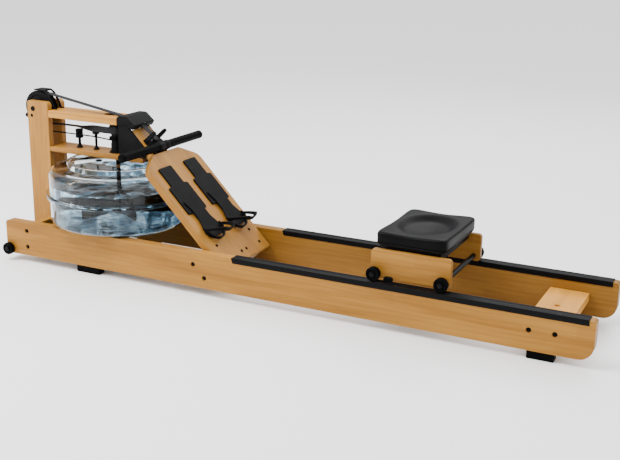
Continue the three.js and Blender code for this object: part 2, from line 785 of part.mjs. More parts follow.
// ---- rolling seat -------------------------------------------------------------------------
const carriageOutline = outline([
  [CARRIAGE.start, CARRIAGE.bottom, 10],
  [CARRIAGE.end, CARRIAGE.bottom, 10],
  [CARRIAGE.end, CARRIAGE.top, 10],
  [CARRIAGE.start, CARRIAGE.top, 10],
]);
for (const [side, sign] of [["near", -1], ["far", 1]]) {
  const across = (low, high) => (sign < 0 ? [-high, -low] : [low, high]);
  const holes = SEAT_AXLES.map((x) => circle(x, SEAT_WHEEL_Z, 5 + GAP, 12));
  add(
    `carriage_board_${side}`,
    sidePrism(carriageOutline, ...across(CARRIAGE.inner, CARRIAGE.outer), 1.5, holes),
    "oak",
  );
  SEAT_AXLES.forEach((x, index) => {
    const end = index === 0 ? "front" : "rear";
    const wheel = ringAcross(
      5 + GAP, SEAT_WHEEL_RADIUS, ...across(...SEAT_WHEEL_Y), x, SEAT_WHEEL_Z, 24, 2,
    );
    add(`seat_wheel_${end}_${side}`, wheel, "rubber");
  });
}
SEAT_AXLES.forEach((x, index) => {
  add(`seat_axle_${index === 0 ? "front" : "rear"}`, turnedAcross([
    [0, -194],
    [8, -194],
    [8, -190.4],
    [5, -190.4],
    [5, GAP - CARRIAGE.inner],
    [8, GAP - CARRIAGE.inner],
    [8, CARRIAGE.inner - GAP],
    [5, CARRIAGE.inner - GAP],
    [5, 190.4],
    [8, 190.4],
    [8, 194],
    [0, 194],
  ], x, SEAT_WHEEL_Z, 12), "steel");
});
add("carriage_guide", sidePrism(
  outline([[1454, 148.8, 2], [1484, 148.8, 2], [1484, 162, 9], [1454, 162, 9]]),
  -(CARRIAGE.outer + 8), -(CARRIAGE.outer + GAP), 1,
), "plastic");
add("seat_base", flatPrism(
  rectangle(1446, 1624, -(CARRIAGE.inner - GAP), CARRIAGE.inner - GAP, 6), 226, 250, 1,
), "plastic");
add("seat_cushion", flatPrism(
  rectangle(1417, 1642, -155, 155, 10), 250.3, 297, 4,
), "leather");

// ---- one shared frame: centred over the floor ---------------------------------------------
const box = new THREE.Box3().setFromObject(machine);
const middleX = (box.min.x + box.max.x) / 2;
const middleY = (box.min.y + box.max.y) / 2;
for (const mesh of machine.children) {
  mesh.geometry.translate(-middleX, -middleY, -box.min.z);
}

export default machine;
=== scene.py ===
"""Visual model of a water rowing machine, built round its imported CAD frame."""
import math

import bmesh
import bpy
from mathutils import Matrix, Vector, noise


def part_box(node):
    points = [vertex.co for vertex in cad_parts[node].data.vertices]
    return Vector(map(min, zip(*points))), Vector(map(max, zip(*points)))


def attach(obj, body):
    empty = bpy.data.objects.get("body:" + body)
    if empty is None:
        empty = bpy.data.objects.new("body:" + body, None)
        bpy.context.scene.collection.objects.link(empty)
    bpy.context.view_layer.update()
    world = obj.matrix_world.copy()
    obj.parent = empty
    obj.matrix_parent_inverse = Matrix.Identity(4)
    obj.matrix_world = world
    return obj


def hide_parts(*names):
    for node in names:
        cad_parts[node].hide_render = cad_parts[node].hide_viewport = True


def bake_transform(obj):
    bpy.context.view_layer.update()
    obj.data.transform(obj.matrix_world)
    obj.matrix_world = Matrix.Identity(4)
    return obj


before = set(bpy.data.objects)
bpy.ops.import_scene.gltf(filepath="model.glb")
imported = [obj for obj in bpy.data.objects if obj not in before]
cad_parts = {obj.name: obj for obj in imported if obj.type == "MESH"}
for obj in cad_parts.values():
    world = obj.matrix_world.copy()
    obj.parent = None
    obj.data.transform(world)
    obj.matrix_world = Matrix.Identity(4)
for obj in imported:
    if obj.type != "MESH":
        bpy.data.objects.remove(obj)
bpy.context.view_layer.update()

# ---- machine frame: millimetres from the front end of the rails ------------------------------
MM = 0.001
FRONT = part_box("side_board_near")[0].x
SLOPE = math.radians(45.6)
DOWN = Vector((math.cos(SLOPE), 0, -math.sin(SLOPE)))
OFF = Vector((math.sin(SLOPE), 0, math.cos(SLOPE)))
AXIS_X, AXIS_Y, AXIS_Z = Vector((1, 0, 0)), Vector((0, 1, 0)), Vector((0, 0, 1))

GAP = 0.3
RAIL_INNER, RAIL_OUTER = 161.7, 197.7
RAIL_BOTTOM, RAIL_TOP, RAIL_LENGTH = 25, 145.6, 2100
BETWEEN_RAILS = (-(RAIL_INNER - GAP), RAIL_INNER - GAP)
TRACK_START, TRACK_END, TRACK_TOP = 938, 2081, 148
TRACK_LIP, TRACK_WALL = 15, 1.9
MOVING_WHEEL = (15, 43)
TOWER_HALF, UPRIGHT_INNER, TOWER_DEPTH, TOWER_TOP = 48, 24, 94, 558
PLANK_TOP, BELT_SLOT_HALF = 529.1, 14.5
TANK_X, TANK_RADIUS, FLANGE_RADIUS, SEAM = 360, 245, 255, 252
TANK_INNER, TANK_CORNER, WATER_LEVEL = 241, 219, 300
PULLEY, PULLEY_RADIUS = (26, 530), 56.2
ROLLER, ROLLER_RADIUS = (447, 505), 14
BELT_HALF_WIDTH, BELT_HALF_THICKNESS = 12, 1.2
COIL_HEIGHT, COIL_RADIUS, DRUM_RADIUS = 478, 28, 23
BEARING_BOTTOM, CORD_ANCHOR_X = 397.6, 60
BOARD_BOTTOM, BOARD_TOP, NECK_BOTTOM, REST_TOP = 675, 699, 652, 679
HANDLE_S, HANDLE_H = 71, 701
SEAT_AXLES = {"front": 1426, "rear": 1642}
SEAT_WHEEL_Z = 170.3
SEAT_BASE_HALF, CARRIAGE_OUTER = 140.7, 159
BOLT_FLOOR = 193.1
RAIL_BOLTS = ((94, 116), (94, 57), (792, 103), (835, 61), (1914, 87), (1989, 87))
SIDES = {"near": -1, "far": 1}


def at(x, y, z):
    """A point given in machine millimetres, in the row frame."""
    return Vector((FRONT + x * MM, y * MM, z * MM))


def on_slope(s, y, h):
    """A point s down the footboard's slope and h square to it, in the row frame."""
    place = DOWN * s + OFF * h
    return at(place.x, y, place.z)


# ---- materials -------------------------------------------------------------------------------
def new_material(name):
    material = bpy.data.materials.new(name)
    material.use_nodes = True
    tree = material.node_tree
    shader = tree.nodes["Principled BSDF"]
    return material, tree, shader


def node(tree, kind, **values):
    """A new node; values name its inputs or its settings."""
    made = tree.nodes.new(kind)
    for key, value in values.items():
        if key in made.inputs:
            made.inputs[key].default_value = value
        else:
            setattr(made, key, value)
    return made


def ramp(tree, source, stops):
    made = tree.nodes.new("ShaderNodeValToRGB")
    elements = made.color_ramp.elements
    while len(elements) < len(stops):
        elements.new(0.5)
    for element, (position, colour) in zip(elements, stops):
        element.position = position
        element.color = (*colour, 1)
    tree.links.new(source, made.inputs["Fac"])
    return made.outputs["Color"]


def mapped(tree, rotation=(0, 0, 0), location=(0, 0, 0)):
    """Object coordinates, turned and moved."""
    coordinates = tree.nodes.new("ShaderNodeTexCoord")
    turn = node(tree, "ShaderNodeMapping", Rotation=rotation, Location=location)
    tree.links.new(coordinates.outputs["Object"], turn.inputs["Vector"])
    return turn.outputs["Vector"]


def stretched(tree, vector, scale):
    made = node(tree, "ShaderNodeVectorMath", operation="MULTIPLY")
    made.inputs[1].default_value = scale
    tree.links.new(vector, made.inputs[0])
    return made.outputs["Vector"]


def noise_of(tree, vector, scale, detail=4, roughness=0.55, distortion=0.0):
    made = node(tree, "ShaderNodeTexNoise", Scale=scale, Detail=detail, Roughness=roughness,
                Distortion=distortion)
    tree.links.new(vector, made.inputs["Vector"])
    return made.outputs["Fac"]


def bump_into(tree, shader, height, strength, distance):
    made = node(tree, "ShaderNodeBump", Strength=strength, Distance=distance)
    tree.links.new(height, made.inputs["Height"])
    tree.links.new(made.outputs["Normal"], shader.inputs["Normal"])


def roughness_into(tree, shader, pattern, low, high):
    """Roughness that follows a pattern between two values."""
    made = node(tree, "ShaderNodeMapRange")
    made.inputs["To Min"].default_value = low
    made.inputs["To Max"].default_value = high
    tree.links.new(pattern, made.inputs["Value"])
    tree.links.new(made.outputs["Result"], shader.inputs["Roughness"])


def math_of(tree, operation, first, second=None):
    made = node(tree, "ShaderNodeMath", operation=operation)
    for index, value in enumerate((first, second)):
        if value is None:
            continue
        if isinstance(value, (int, float)):
            made.inputs[index].default_value = value
        else:
            tree.links.new(value, made.inputs[index])
    return made.outputs["Value"]


def mix_colour(tree, factor, first, second, blend="MIX"):
    made = node(tree, "ShaderNodeMix", data_type="RGBA", blend_type=blend)
    for key, value in (("Factor", factor), ("A", first), ("B", second)):
        wanted = "VALUE" if key == "Factor" else "RGBA"
        socket = [s for s in made.inputs if s.name == key and s.type == wanted][0]
        if isinstance(value, (int, float, tuple)):
            socket.default_value = value
        else:
            tree.links.new(value, socket)
    return [s for s in made.outputs if s.type == "RGBA"][0]


GRAIN_TURNS = {
    "x": (0, 0, 0),
    "y": (0, 0, -math.pi / 2),
    "z": (0, math.pi / 2, 0),
    "slope": (0, -SLOPE, 0),
}
LIGHT_OAK = (0.385, 0.182, 0.030)
MID_OAK = (0.245, 0.104, 0.014)
DARK_OAK = (0.120, 0.042, 0.006)
STAVE_WIDTH, STAVE_LENGTH = 0.039, 0.55


def oak(name, grain, number, tone=1.0):
    """Lacquered oak in glued staves, its grain along x, y, z or the slope; tone lightens or darkens a whole
    board as painted light or painted shade.
    """
    material, tree, shader = new_material(name)
    plain = mapped(tree, GRAIN_TURNS[grain], Vector((0.37, 0.113, 0.071)) * number)
    broad = noise_of(tree, stretched(tree, plain, (1.6, 16, 16)), 1.0, 5, 0.6, 0.6)
    fibres = noise_of(tree, stretched(tree, plain, (9, 260, 260)), 1.0, 3, 0.6)
    pores = noise_of(tree, stretched(tree, plain, (26, 620, 620)), 1.0, 2, 0.5)
    rings = node(tree, "ShaderNodeTexWave", wave_type="BANDS", bands_direction="Z", Scale=7.0,
                 Distortion=5.0, Detail=2.0)
    rings.inputs["Detail Scale"].default_value = 1.2
    tree.links.new(stretched(tree, plain, (0.35, 1.7, 2.6)), rings.inputs["Vector"])

    parts = node(tree, "ShaderNodeSeparateXYZ")
    tree.links.new(plain, parts.inputs["Vector"])
    stave = math_of(tree, "FLOOR", math_of(tree, "MULTIPLY", parts.outputs["Z"], 1 / STAVE_WIDTH))
    length = math_of(tree, "FLOOR", math_of(
        tree, "ADD", math_of(tree, "MULTIPLY", parts.outputs["X"], 1 / STAVE_LENGTH),
        math_of(tree, "MULTIPLY", stave, 0.37)))
    cell = node(tree, "ShaderNodeCombineXYZ")
    tree.links.new(length, cell.inputs["X"])
    tree.links.new(stave, cell.inputs["Y"])
    random_tone = node(tree, "ShaderNodeTexWhiteNoise", noise_dimensions="2D")
    tree.links.new(cell.outputs["Vector"], random_tone.inputs["Vector"])

    colour = ramp(tree, broad, [(0.28, MID_OAK), (0.62, LIGHT_OAK)])
    figure = ramp(tree, rings.outputs["Fac"], [(0.0, (0.80, 0.74, 0.66)), (0.45, (1, 1, 1))])
    colour = mix_colour(tree, 0.42, colour, figure, "MULTIPLY")
    streak = ramp(tree, fibres, [(0.35, (0.80, 0.72, 0.62)), (0.60, (1, 1, 1))])
    colour = mix_colour(tree, 0.38, colour, streak, "MULTIPLY")
    stave_tone = ramp(tree, random_tone.outputs["Value"],
                      [(0.0, (0.90, 0.87, 0.83)), (1.0, (1, 1, 1))])
    colour = mix_colour(tree, 0.75, colour, stave_tone, "MULTIPLY")
    dark = ramp(tree, pores, [(0.60, (0, 0, 0)), (0.72, (1, 1, 1))])
    colour = mix_colour(tree, math_of(tree, "MULTIPLY", dark, 0.16), colour, (*DARK_OAK, 1))
    # Painted light and shade: tone scales the whole board lighter or darker than plain oak.
    colour = mix_colour(tree, 1.0, colour, (tone, tone, tone, 1), "MULTIPLY")
    tree.links.new(colour, shader.inputs["Base Color"])

    roughness_into(tree, shader, fibres, 0.36, 0.52)
    shader.inputs["Specular IOR Level"].default_value = 0.12
    shader.inputs["Coat Weight"].default_value = 0.05
    shader.inputs["Coat Roughness"].default_value = 0.25
    bump_into(tree, shader, math_of(tree, "ADD", fibres, pores), 0.12, 0.0006)
    return material


def dark_surface(name, colour, roughness, grain_scale, strength, metallic=0.0, stretch=(1, 1, 1),
                 shine=0.5):
    """A moulded, rubber, anodised or steel surface: fine texture and slightly uneven gloss."""
    material, tree, shader = new_material(name)
    vector = stretched(tree, mapped(tree), stretch)
    fine = noise_of(tree, vector, grain_scale, 3, 0.6)
    broad = noise_of(tree, vector, grain_scale / 40, 3, 0.5)
    low = tuple(channel * 0.75 for channel in colour)
    high = tuple(min(1, channel * 1.35) for channel in colour)
    tree.links.new(ramp(tree, broad, [(0.3, low), (0.7, high)]), shader.inputs["Base Color"])
    roughness_into(tree, shader, fine, roughness - 0.07, roughness + 0.09)
    shader.inputs["Metallic"].default_value = metallic
    shader.inputs["Specular IOR Level"].default_value = shine
    bump_into(tree, shader, fine, strength, 0.0004)
    return material


def leather():
    """Smooth black seat skin with a fine pebble."""
    material, tree, shader = new_material("black_leather")
    vector = mapped(tree)
    pebble = node(tree, "ShaderNodeTexVoronoi", feature="SMOOTH_F1")
    pebble.inputs["Scale"].default_value = 620
    tree.links.new(vector, pebble.inputs["Vector"])
    broad = noise_of(tree, vector, 14, 3, 0.5)
    tone = ramp(tree, broad, [(0.3, (0.0012, 0.0012, 0.0014)), (0.7, (0.0024, 0.0024, 0.0027))])
    tree.links.new(tone, shader.inputs["Base Color"])
    roughness_into(tree, shader, broad, 0.34, 0.48)
    shader.inputs["Specular IOR Level"].default_value = 0.05
    bump_into(tree, shader, pebble.outputs["Distance"], 0.10, 0.0006)
    return material


def webbing():
    """Woven belt: ribs across and threads along."""
    material, tree, shader = new_material("belt_webbing")
    vector = mapped(tree)
    heights = []
    for direction, scale in (("X", 260), ("Y", 180), ("Z", 260)):
        wave = node(tree, "ShaderNodeTexWave", wave_type="BANDS", bands_direction=direction,
                    Scale=scale)
        tree.links.new(vector, wave.inputs["Vector"])
        heights.append(wave.outputs["Fac"])
    weave = math_of(tree, "ADD", math_of(tree, "MULTIPLY", heights[0], heights[1]), heights[2])
    tone = ramp(tree, weave, [(0.2, (0.004, 0.004, 0.005)), (1.0, (0.016, 0.016, 0.018))])
    tree.links.new(tone, shader.inputs["Base Color"])
    shader.inputs["Roughness"].default_value = 0.72
    shader.inputs["Specular IOR Level"].default_value = 0.2
    bump_into(tree, shader, weave, 0.35, 0.0005)
    return material


def clear_plastic():
    """Clear, polished plastic with a little uneven haze."""
    material, tree, shader = new_material("clear_tank")
    vector = mapped(tree)
    haze = noise_of(tree, vector, 9, 3, 0.5)
    roughness_into(tree, shader, haze, 0.01, 0.05)
    shader.inputs["Base Color"].default_value = (0.93, 0.97, 0.985, 1)
    shader.inputs["Transmission Weight"].default_value = 1.0
    shader.inputs["IOR"].default_value = 1.22
    return material


def water():
    """Blue-tinted water with painted shade and painted highlights swirled through it."""
    material, tree, shader = new_material("tank_water")
    vector = mapped(tree, location=(-at(TANK_X, 0, 0).x, 0, 0))
    swirl = noise_of(tree, vector, 6.5, 4, 0.6, 2.6)
    # The blue stops are the water's own tint; the near-black stop is painted shade and the near-white stop a
    # painted highlight.
    colour = ramp(tree, swirl, [
        (0.42, (0.006, 0.018, 0.032)), (0.49, (0.10, 0.24, 0.36)), (0.55, (0.80, 0.94, 1.00)),
        (0.63, (0.10, 0.26, 0.40)),
    ])
    tree.links.new(colour, shader.inputs["Base Color"])
    shader.inputs["Roughness"].default_value = 0.04
    shader.inputs["Transmission Weight"].default_value = 1.0
    shader.inputs["IOR"].default_value = 1.18
    ripples = noise_of(tree, vector, 20, 2, 0.5, 0.8)
    bump_into(tree, shader, ripples, 0.45, 0.006)
    return material


LOOKS = {
    "black_plastic": dark_surface("black_plastic", (0.0035, 0.0035, 0.0038), 0.46, 900, 0.16, shine=0.04),
    "black_rubber": dark_surface("black_rubber", (0.0016, 0.0016, 0.0018), 0.46, 700, 0.20, shine=0.02),
    "black_anodised": dark_surface("black_anodised", (0.0022, 0.0022, 0.0025), 0.46, 500, 0.10,
                                   stretch=(0.04, 1, 1), shine=0.06),
    "steel": dark_surface("steel", (0.30, 0.30, 0.31), 0.30, 700, 0.06, metallic=1.0,
                          stretch=(1, 0.05, 1)),
    "webbing": webbing(),
    "black_leather": leather(),
    "clear_tank": clear_plastic(),
    "water": water(),
}
# Axle steel: the black of the exposed axle ends is their own colour; the extra darkening is painted shade for
# the axle spans lying in shade under the seat.
BLACK_STEEL_AND_PAINTED_SHADE = dark_surface("blackened_steel_and_painted_shade", (0.004, 0.004, 0.0045), 0.34, 600, 0.06, metallic=0.3,
                          shine=0.08)


# ---- piece building --------------------------------------------------------------------------
def finish(piece, slot, replaced=(), material=None, bevel=0.0, body="frame", sharp=38, segments=2):
    """Material (the slot's look unless one is given), smoothing, rounded edges, body, and hiding the CAD
    nodes that a piece stands for.
    """
    piece.data.materials.clear()
    piece.data.materials.append(material or LOOKS[slot])
    for polygon in piece.data.polygons:
        polygon.use_smooth = True
    piece.data.set_sharp_from_angle(angle=math.radians(sharp))
    if bevel:
        rounding = piece.modifiers.new("edges", "BEVEL")
        rounding.width = bevel * MM
        rounding.segments = segments
        rounding.limit_method = "ANGLE"
        rounding.angle_limit = math.radians(40)
        rounding.harden_normals = True
    if replaced:
        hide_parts(*replaced)
    if body:
        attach(piece, body)
    return piece


def mesh_piece(name, points, faces):
    mesh = bpy.data.meshes.new(name)
    mesh.from_pydata([tuple(point) for point in points], [], faces)
    made = bmesh.new()
    made.from_mesh(mesh)
    bmesh.ops.remove_doubles(made, verts=made.verts, dist=1e-6)
    bmesh.ops.recalc_face_normals(made, faces=made.faces)
    made.to_mesh(mesh)
    made.free()
    piece = bpy.data.objects.new(name, mesh)
    bpy.context.scene.collection.objects.link(piece)
    return piece


def bridged(rings, steps):
    """Faces between rings of point numbers; a ring of one point closes an end."""
    faces = []
    for first, second in zip(rings, rings[1:]):
        for step in range(steps):
            after = (step + 1) % steps
            a, b = first[step % len(first)], first[after % len(first)]
            c, d = second[after % len(second)], second[step % len(second)]
            face = [a] + ([b] if b != a else []) + ([c] if c != d else []) + [d]
            if len(face) > 2:
                faces.append(tuple(face))
    return faces


def arc(cx, cy, radius, start, stop, steps):
    """Profile points on an arc, with its angles in degrees."""
    angles = [math.radians(start + (stop - start) * step / steps) for step in range(steps + 1)]
    return [(cx + radius * math.cos(angle), cy + radius * math.sin(angle)) for angle in angles]


def ease(low, high, value):
    t = max(0.0, min(1.0, (value - low) / (high - low)))
    return t * t * (3 - 2 * t)


def rounded(corners, steps=6):
    """A closed outline: corners are (a, b) or (a, b, radius)."""
    points = []
    for index, corner in enumerate(corners):
        here = Vector(corner[:2])
        radius = corner[2] if len(corner) > 2 else 0
        if not radius:
            points.append(here)
            continue
        back = (Vector(corners[index - 1][:2]) - here).normalized()
        ahead = (Vector(corners[(index + 1) % len(corners)][:2]) - here).normalized()
        half = math.acos(max(-1, min(1, back.dot(ahead)))) / 2
        middle = here + (back + ahead).normalized() * (radius / math.sin(half))
        first = here + back * (radius / math.tan(half)) - middle
        last = here + ahead * (radius / math.tan(half)) - middle
        start = math.atan2(first.y, first.x)
        turn = math.atan2(last.y, last.x) - start
        turn = (turn + math.pi) % (2 * math.pi) - math.pi
        for step in range(steps + 1):
            angle = start + turn * step / steps
            points.append(middle + Vector((math.cos(angle), math.sin(angle))) * radius)
    return points


def rectangle(a0, a1, b0, b1, radius=0):
    return rounded([(a0, b0, radius), (a1, b0, radius), (a1, b1, radius), (a0, b1, radius)])


def prism(name, outline, place, low, high):
    """An outline swept from low to high; place turns (a, b, along) into a point."""
    count = len(outline)
    points = [place(p[0], p[1], along) for along in (low, high) for p in outline]
    faces = [tuple(range(count)), tuple(range(2 * count - 1, count - 1, -1))]
    faces += [(i, (i + 1) % count, count + (i + 1) % count, count + i) for i in range(count)]
    return mesh_piece(name, points, faces)


def side_on(a, b, along):
    return at(a, along, b)


def laid_flat(a, b, along):
    return at(a, b, along)


def along_rail(a, b, along):
    return at(along, a, b)


def on_board(a, b, along):
    return on_slope(a, b, along)


def beside_board(a, b, along):
    return on_slope(a, along, b)


def turned(name, profile, centre, axis="z", steps=72, closed=False):
    """A profile of (radius, along) in millimetres, turned about a z or y line through centre."""
    points, rings = [], []
    for radius, along in profile:
        if radius < 1e-6:
            rings.append([len(points)])
            points.append((0, 0, along))
            continue
        rings.append(list(range(len(points), len(points) + steps)))
        for step in range(steps):
            angle = 2 * math.pi * step / steps
            points.append((radius * math.cos(angle), radius * math.sin(angle), along))
    if closed:
        rings.append(rings[0])
    if axis == "z":
        placed = [centre + Vector((x, y, along)) * MM for x, y, along in points]
    else:
        placed = [centre + Vector((y, along, x)) * MM for x, y, along in points]
    return mesh_piece(name, placed, bridged(rings, steps))


def across(half):
    """A profile that is the same on both sides of its middle, from its (radius, along) half."""
    return [(radius, -along) for radius, along in half] + half[::-1]


def joined(name, *pieces):
    """One piece made of several solids."""
    made = bmesh.new()
    for piece in pieces:
        made.from_mesh(piece.data)
        bpy.data.objects.remove(piece)
    mesh = bpy.data.meshes.new(name)
    made.to_mesh(mesh)
    made.free()
    piece = bpy.data.objects.new(name, mesh)
    bpy.context.scene.collection.objects.link(piece)
    return piece


def carved(piece, *cutters):
    """Take the cutters out of a piece and remove them."""
    for cutter in cutters:
        cut = piece.modifiers.new("cut", "BOOLEAN")
        cut.object = cutter
        cut.operation = "DIFFERENCE"
        cut.solver = "EXACT"
    bpy.context.view_layer.update()
    result = bpy.data.meshes.new_from_object(piece.evaluated_get(bpy.context.evaluated_depsgraph_get()))
    piece.modifiers.clear()
    piece.data = result
    for cutter in cutters:
        bpy.data.objects.remove(cutter)
    return piece


def block(x0, x1, y0, y1, z0, z1):
    return prism("block", rectangle(x0, x1, y0, y1), laid_flat, z0, z1)


def button_bolt(name, centre, axis, radius, height, slot="black_plastic"):
    """A domed socket-head bolt: axis is the way it faces, as "-x", "y", "-y" or "board"."""
    sign = -1 if axis.startswith("-") else 1
    rings = [(radius, 0, 0), (radius, 0.35, 0), (radius * 0.86, 0.78, 0), (radius * 0.62, 1, 0),
             (radius * 0.46, 1, 1), (radius * 0.46, 0.3, 1), (0, 0.3, 1)]
    steps = 24
    points, faces = [], []
    for ring_radius, level, hexagon in rings:
        for step in range(steps):
            angle = 2 * math.pi * step / steps
            reach = ring_radius
            if hexagon:
                reach *= math.cos(math.pi / 6) / math.cos((angle % (math.pi / 3)) - math.pi / 6)
            points.append((reach * math.cos(angle), reach * math.sin(angle), level * height * sign))
    for ring in range(len(rings) - 1):
        for step in range(steps):
            after = (step + 1) % steps
            a, b = ring * steps, (ring + 1) * steps
            faces.append((a + step, a + after, b + after, b + step))
    faces.append(tuple(range(steps)))
    frames = {
        "x": (AXIS_Y, AXIS_Z, AXIS_X),
        "y": (AXIS_X, AXIS_Z, AXIS_Y),
        "board": (DOWN, AXIS_Y, OFF),
    }
    u, v, w = frames[axis.lstrip("-")]
    placed = [centre + (u * x + v * y + w * z) * MM for x, y, z in points]
    return finish(mesh_piece(name, placed, faces), slot, sharp=30)


def strip(name, stations):
    """A belt through stations of (centre, wide direction, thick direction)."""
    points, faces = [], []
    for centre, wide, thick in stations:
        for a, b in ((-1, -1), (1, -1), (1, 1), (-1, 1)):
            points.append(centre + wide * (a * BELT_HALF_WIDTH * MM) + thick * (b * BELT_HALF_THICKNESS * MM))
    for index in range(len(stations) - 1):
        for side in range(4):
            a, b = 4 * index + side, 4 * index + (side + 1) % 4
            faces.append((a, b, b + 4, a + 4))
    last = 4 * (len(stations) - 1)
    faces += [(0, 3, 2, 1), (last, last + 1, last + 2, last + 3)]
    return mesh_piece(name, points, faces)


def tube(name, path, radius, steps=12):
    """A round cord along a path of points."""
    points, faces = [], []
    for index, here in enumerate(path):
        ahead = path[min(index + 1, len(path) - 1)] - path[max(index - 1, 0)]
        ahead.normalize()
        side = ahead.cross(AXIS_Z)
        side = side.normalized() if side.length > 1e-3 else AXIS_Y
        up = side.cross(ahead)
        for step in range(steps):
            angle = 2 * math.pi * step / steps
            points.append(here + (side * math.cos(angle) + up * math.sin(angle)) * radius * MM)
    for index in range(len(path) - 1):
        for step in range(steps):
            after = (step + 1) % steps
            a, b = index * steps, (index + 1) * steps
            faces.append((a + step, a + after, b + after, b + step))
    last = (len(path) - 1) * steps
    faces += [tuple(range(steps))[::-1], tuple(range(last, last + steps))]
    return mesh_piece(name, points, faces)


def sides(sign, low, high):
    """The span from low to high on the near (-1) or far (+1) side."""
    return (-high, -low) if sign < 0 else (low, high)


# ---- rails, tracks, feet, moving wheels ------------------------------------------------------
rail_outline = rounded([
    (0, RAIL_BOTTOM, 10), (RAIL_LENGTH, RAIL_BOTTOM, 45), (RAIL_LENGTH, RAIL_TOP, 10), (0, RAIL_TOP, 10),
], 10)
for number, (side, sign) in enumerate(SIDES.items()):
    rail = prism(f"rail_{side}", rail_outline, side_on, *sides(sign, RAIL_INNER, RAIL_OUTER))
    floor_y, open_y = sign * (BOLT_FLOOR + 0.1), sign * (RAIL_OUTER + 5.3)
    carved(rail, *[
        turned("recess", [(0, floor_y), (8.4, floor_y), (8.4, open_y), (0, open_y)], at(x, 0, z), "y", 32)
        for x, z in RAIL_BOLTS
    ])
    # Painted shade: the near rail's oak is darkened to 0.90, and the far rail's to 0.66 for its shaded inner
    # face.
    timber = oak(f"oak_rail_{side}", "x", 1 + number, (0.90, 0.66)[number])
    finish(rail, "oak", [f"side_board_{side}"], timber, 2.5, segments=3)

    lip, groove = RAIL_TOP - TRACK_LIP, TRACK_TOP - 0.7
    inside, outside = RAIL_INNER - TRACK_WALL, RAIL_OUTER + TRACK_WALL
    section = rounded([
        (inside, lip, 0.5), (RAIL_INNER - GAP, lip), (RAIL_INNER - GAP, RAIL_TOP + GAP),
        (RAIL_OUTER + GAP, RAIL_TOP + GAP), (RAIL_OUTER + GAP, lip), (outside, lip, 0.5),
        (outside, TRACK_TOP, 1.5), (RAIL_OUTER - 6, TRACK_TOP), (RAIL_OUTER - 7, groove),
        (RAIL_INNER + 7, groove), (RAIL_INNER + 6, TRACK_TOP), (inside, TRACK_TOP, 1.5),
    ], 3)
    section = [(sign * a, b) for a, b in section]
    track = prism(f"rail_track_{side}", section, along_rail, TRACK_START, TRACK_END)
    nose = prism("nose", [(TRACK_START - 1, 130), (TRACK_START + 6, 130), (TRACK_START - 1, 152)],
                 side_on, *sides(sign, 150, 210))
    carved(track, nose)
    finish(track, "black_anodised", [f"track_{side}"])

    for end, start, stop in (("front", 310, 405), ("rear", 1912, 1992)):
        outline = rounded([
            (start, 0, 3), (stop, 0, 3), (stop, RAIL_BOTTOM - GAP, 1.5), (start, RAIL_BOTTOM - GAP, 1.5),
        ])
        foot = prism(f"foot_{end}_{side}", outline, side_on, *sides(sign, 164, 195))
        finish(foot, "black_rubber", [f"{end}_foot_{side}"], bevel=1.2)

    low, high = sides(sign, RAIL_OUTER + 2, RAIL_OUTER + 20)
    middle = (low + high) / 2
    half = [(5.3, 9), (7, 9), (8, 6.5), (14, 6.5), (15.5, 8.5), (19.5, 9), (21.3, 7.5), (22, 4.5)]
    wheel = turned(f"moving_wheel_{side}", across(half), at(MOVING_WHEEL[0], middle, MOVING_WHEEL[1]),
                   "y", 56, closed=True)
    finish(wheel, "black_rubber", [f"transport_wheel_{side}"], body=f"moving_wheel_{side}")

    for index, (x, z) in enumerate(RAIL_BOLTS):
        face = "y" if sign > 0 else "-y"
        button_bolt(f"rail_bolt_{side}_{index + 1}", at(x, sign * BOLT_FLOOR, z), face, 6.8, 3.6)

axle_half = [(0, 221.2), (6.5, 221.2), (8, 219.8), (8, 218.2), (5, 218.2)]
moving_axle = turned("moving_axle", across(axle_half), at(MOVING_WHEEL[0], 0, MOVING_WHEEL[1]), "y", 32)
finish(moving_axle, "steel", ["transport_axle"], BLACK_STEEL_AND_PAINTED_SHADE)

front_cross = prism("front_cross", rectangle(76, 112, 36, 138), side_on, *BETWEEN_RAILS)
finish(front_cross, "oak", ["front_cross_board"], oak("oak_front_cross", "y", 3, 0.97), 2)
tail_cross = prism("tail_cross", rectangle(1892, 2014, *BETWEEN_RAILS), laid_flat, 74, 101)
tail_hole = turned("hole", [(0, 60), (8, 60), (8, 110), (0, 110)], at(1950, 4, 0), "z", 32)
carved(tail_cross, tail_hole)
# Painted light: the tail cross board's oak is lightened 1.55 times.
finish(tail_cross, "oak", ["tail_cross_board"], oak("oak_tail_cross", "y", 4, 1.55), 2)

# ---- front tower -----------------------------------------------------------------------------
upright_outline = rounded([
    (0, 48), (75.7, 48), (75.7, 138.3), (TOWER_DEPTH, 138.3), (TOWER_DEPTH, TOWER_TOP, 16), (0, TOWER_TOP, 8),
], 8)
for number, (side, sign) in enumerate(SIDES.items()):
    upright = prism(f"tower_upright_{side}", upright_outline, side_on,
                    *sides(sign, UPRIGHT_INNER, TOWER_HALF))
    timber = oak(f"oak_upright_{side}", "z", 5 + number)
    finish(upright, "oak", [f"upright_{side}"], timber, 2.2, segments=3)
    button_bolt(f"tower_cap_nut_{side}", at(-0.1, sign * 38, 503), "-x", 9.5, 14)
    face = "y" if sign > 0 else "-y"
    button_bolt(f"tower_bolt_{side}", at(20, sign * (TOWER_HALF + 0.1), 505), face, 5.5, 2.6)

plank_start = TOWER_DEPTH + GAP
belt_slot = (-BELT_SLOT_HALF, BELT_SLOT_HALF)
top_plank = prism("tower_top_plank", rectangle(plank_start, 416, -TOWER_HALF, TOWER_HALF), laid_flat,
                  503.5, PLANK_TOP)
carved(top_plank, block(384, 420, *belt_slot, 490, 540),
       prism("hole", rectangle(314, 342, -8, 8, 5), laid_flat, 490, 540))
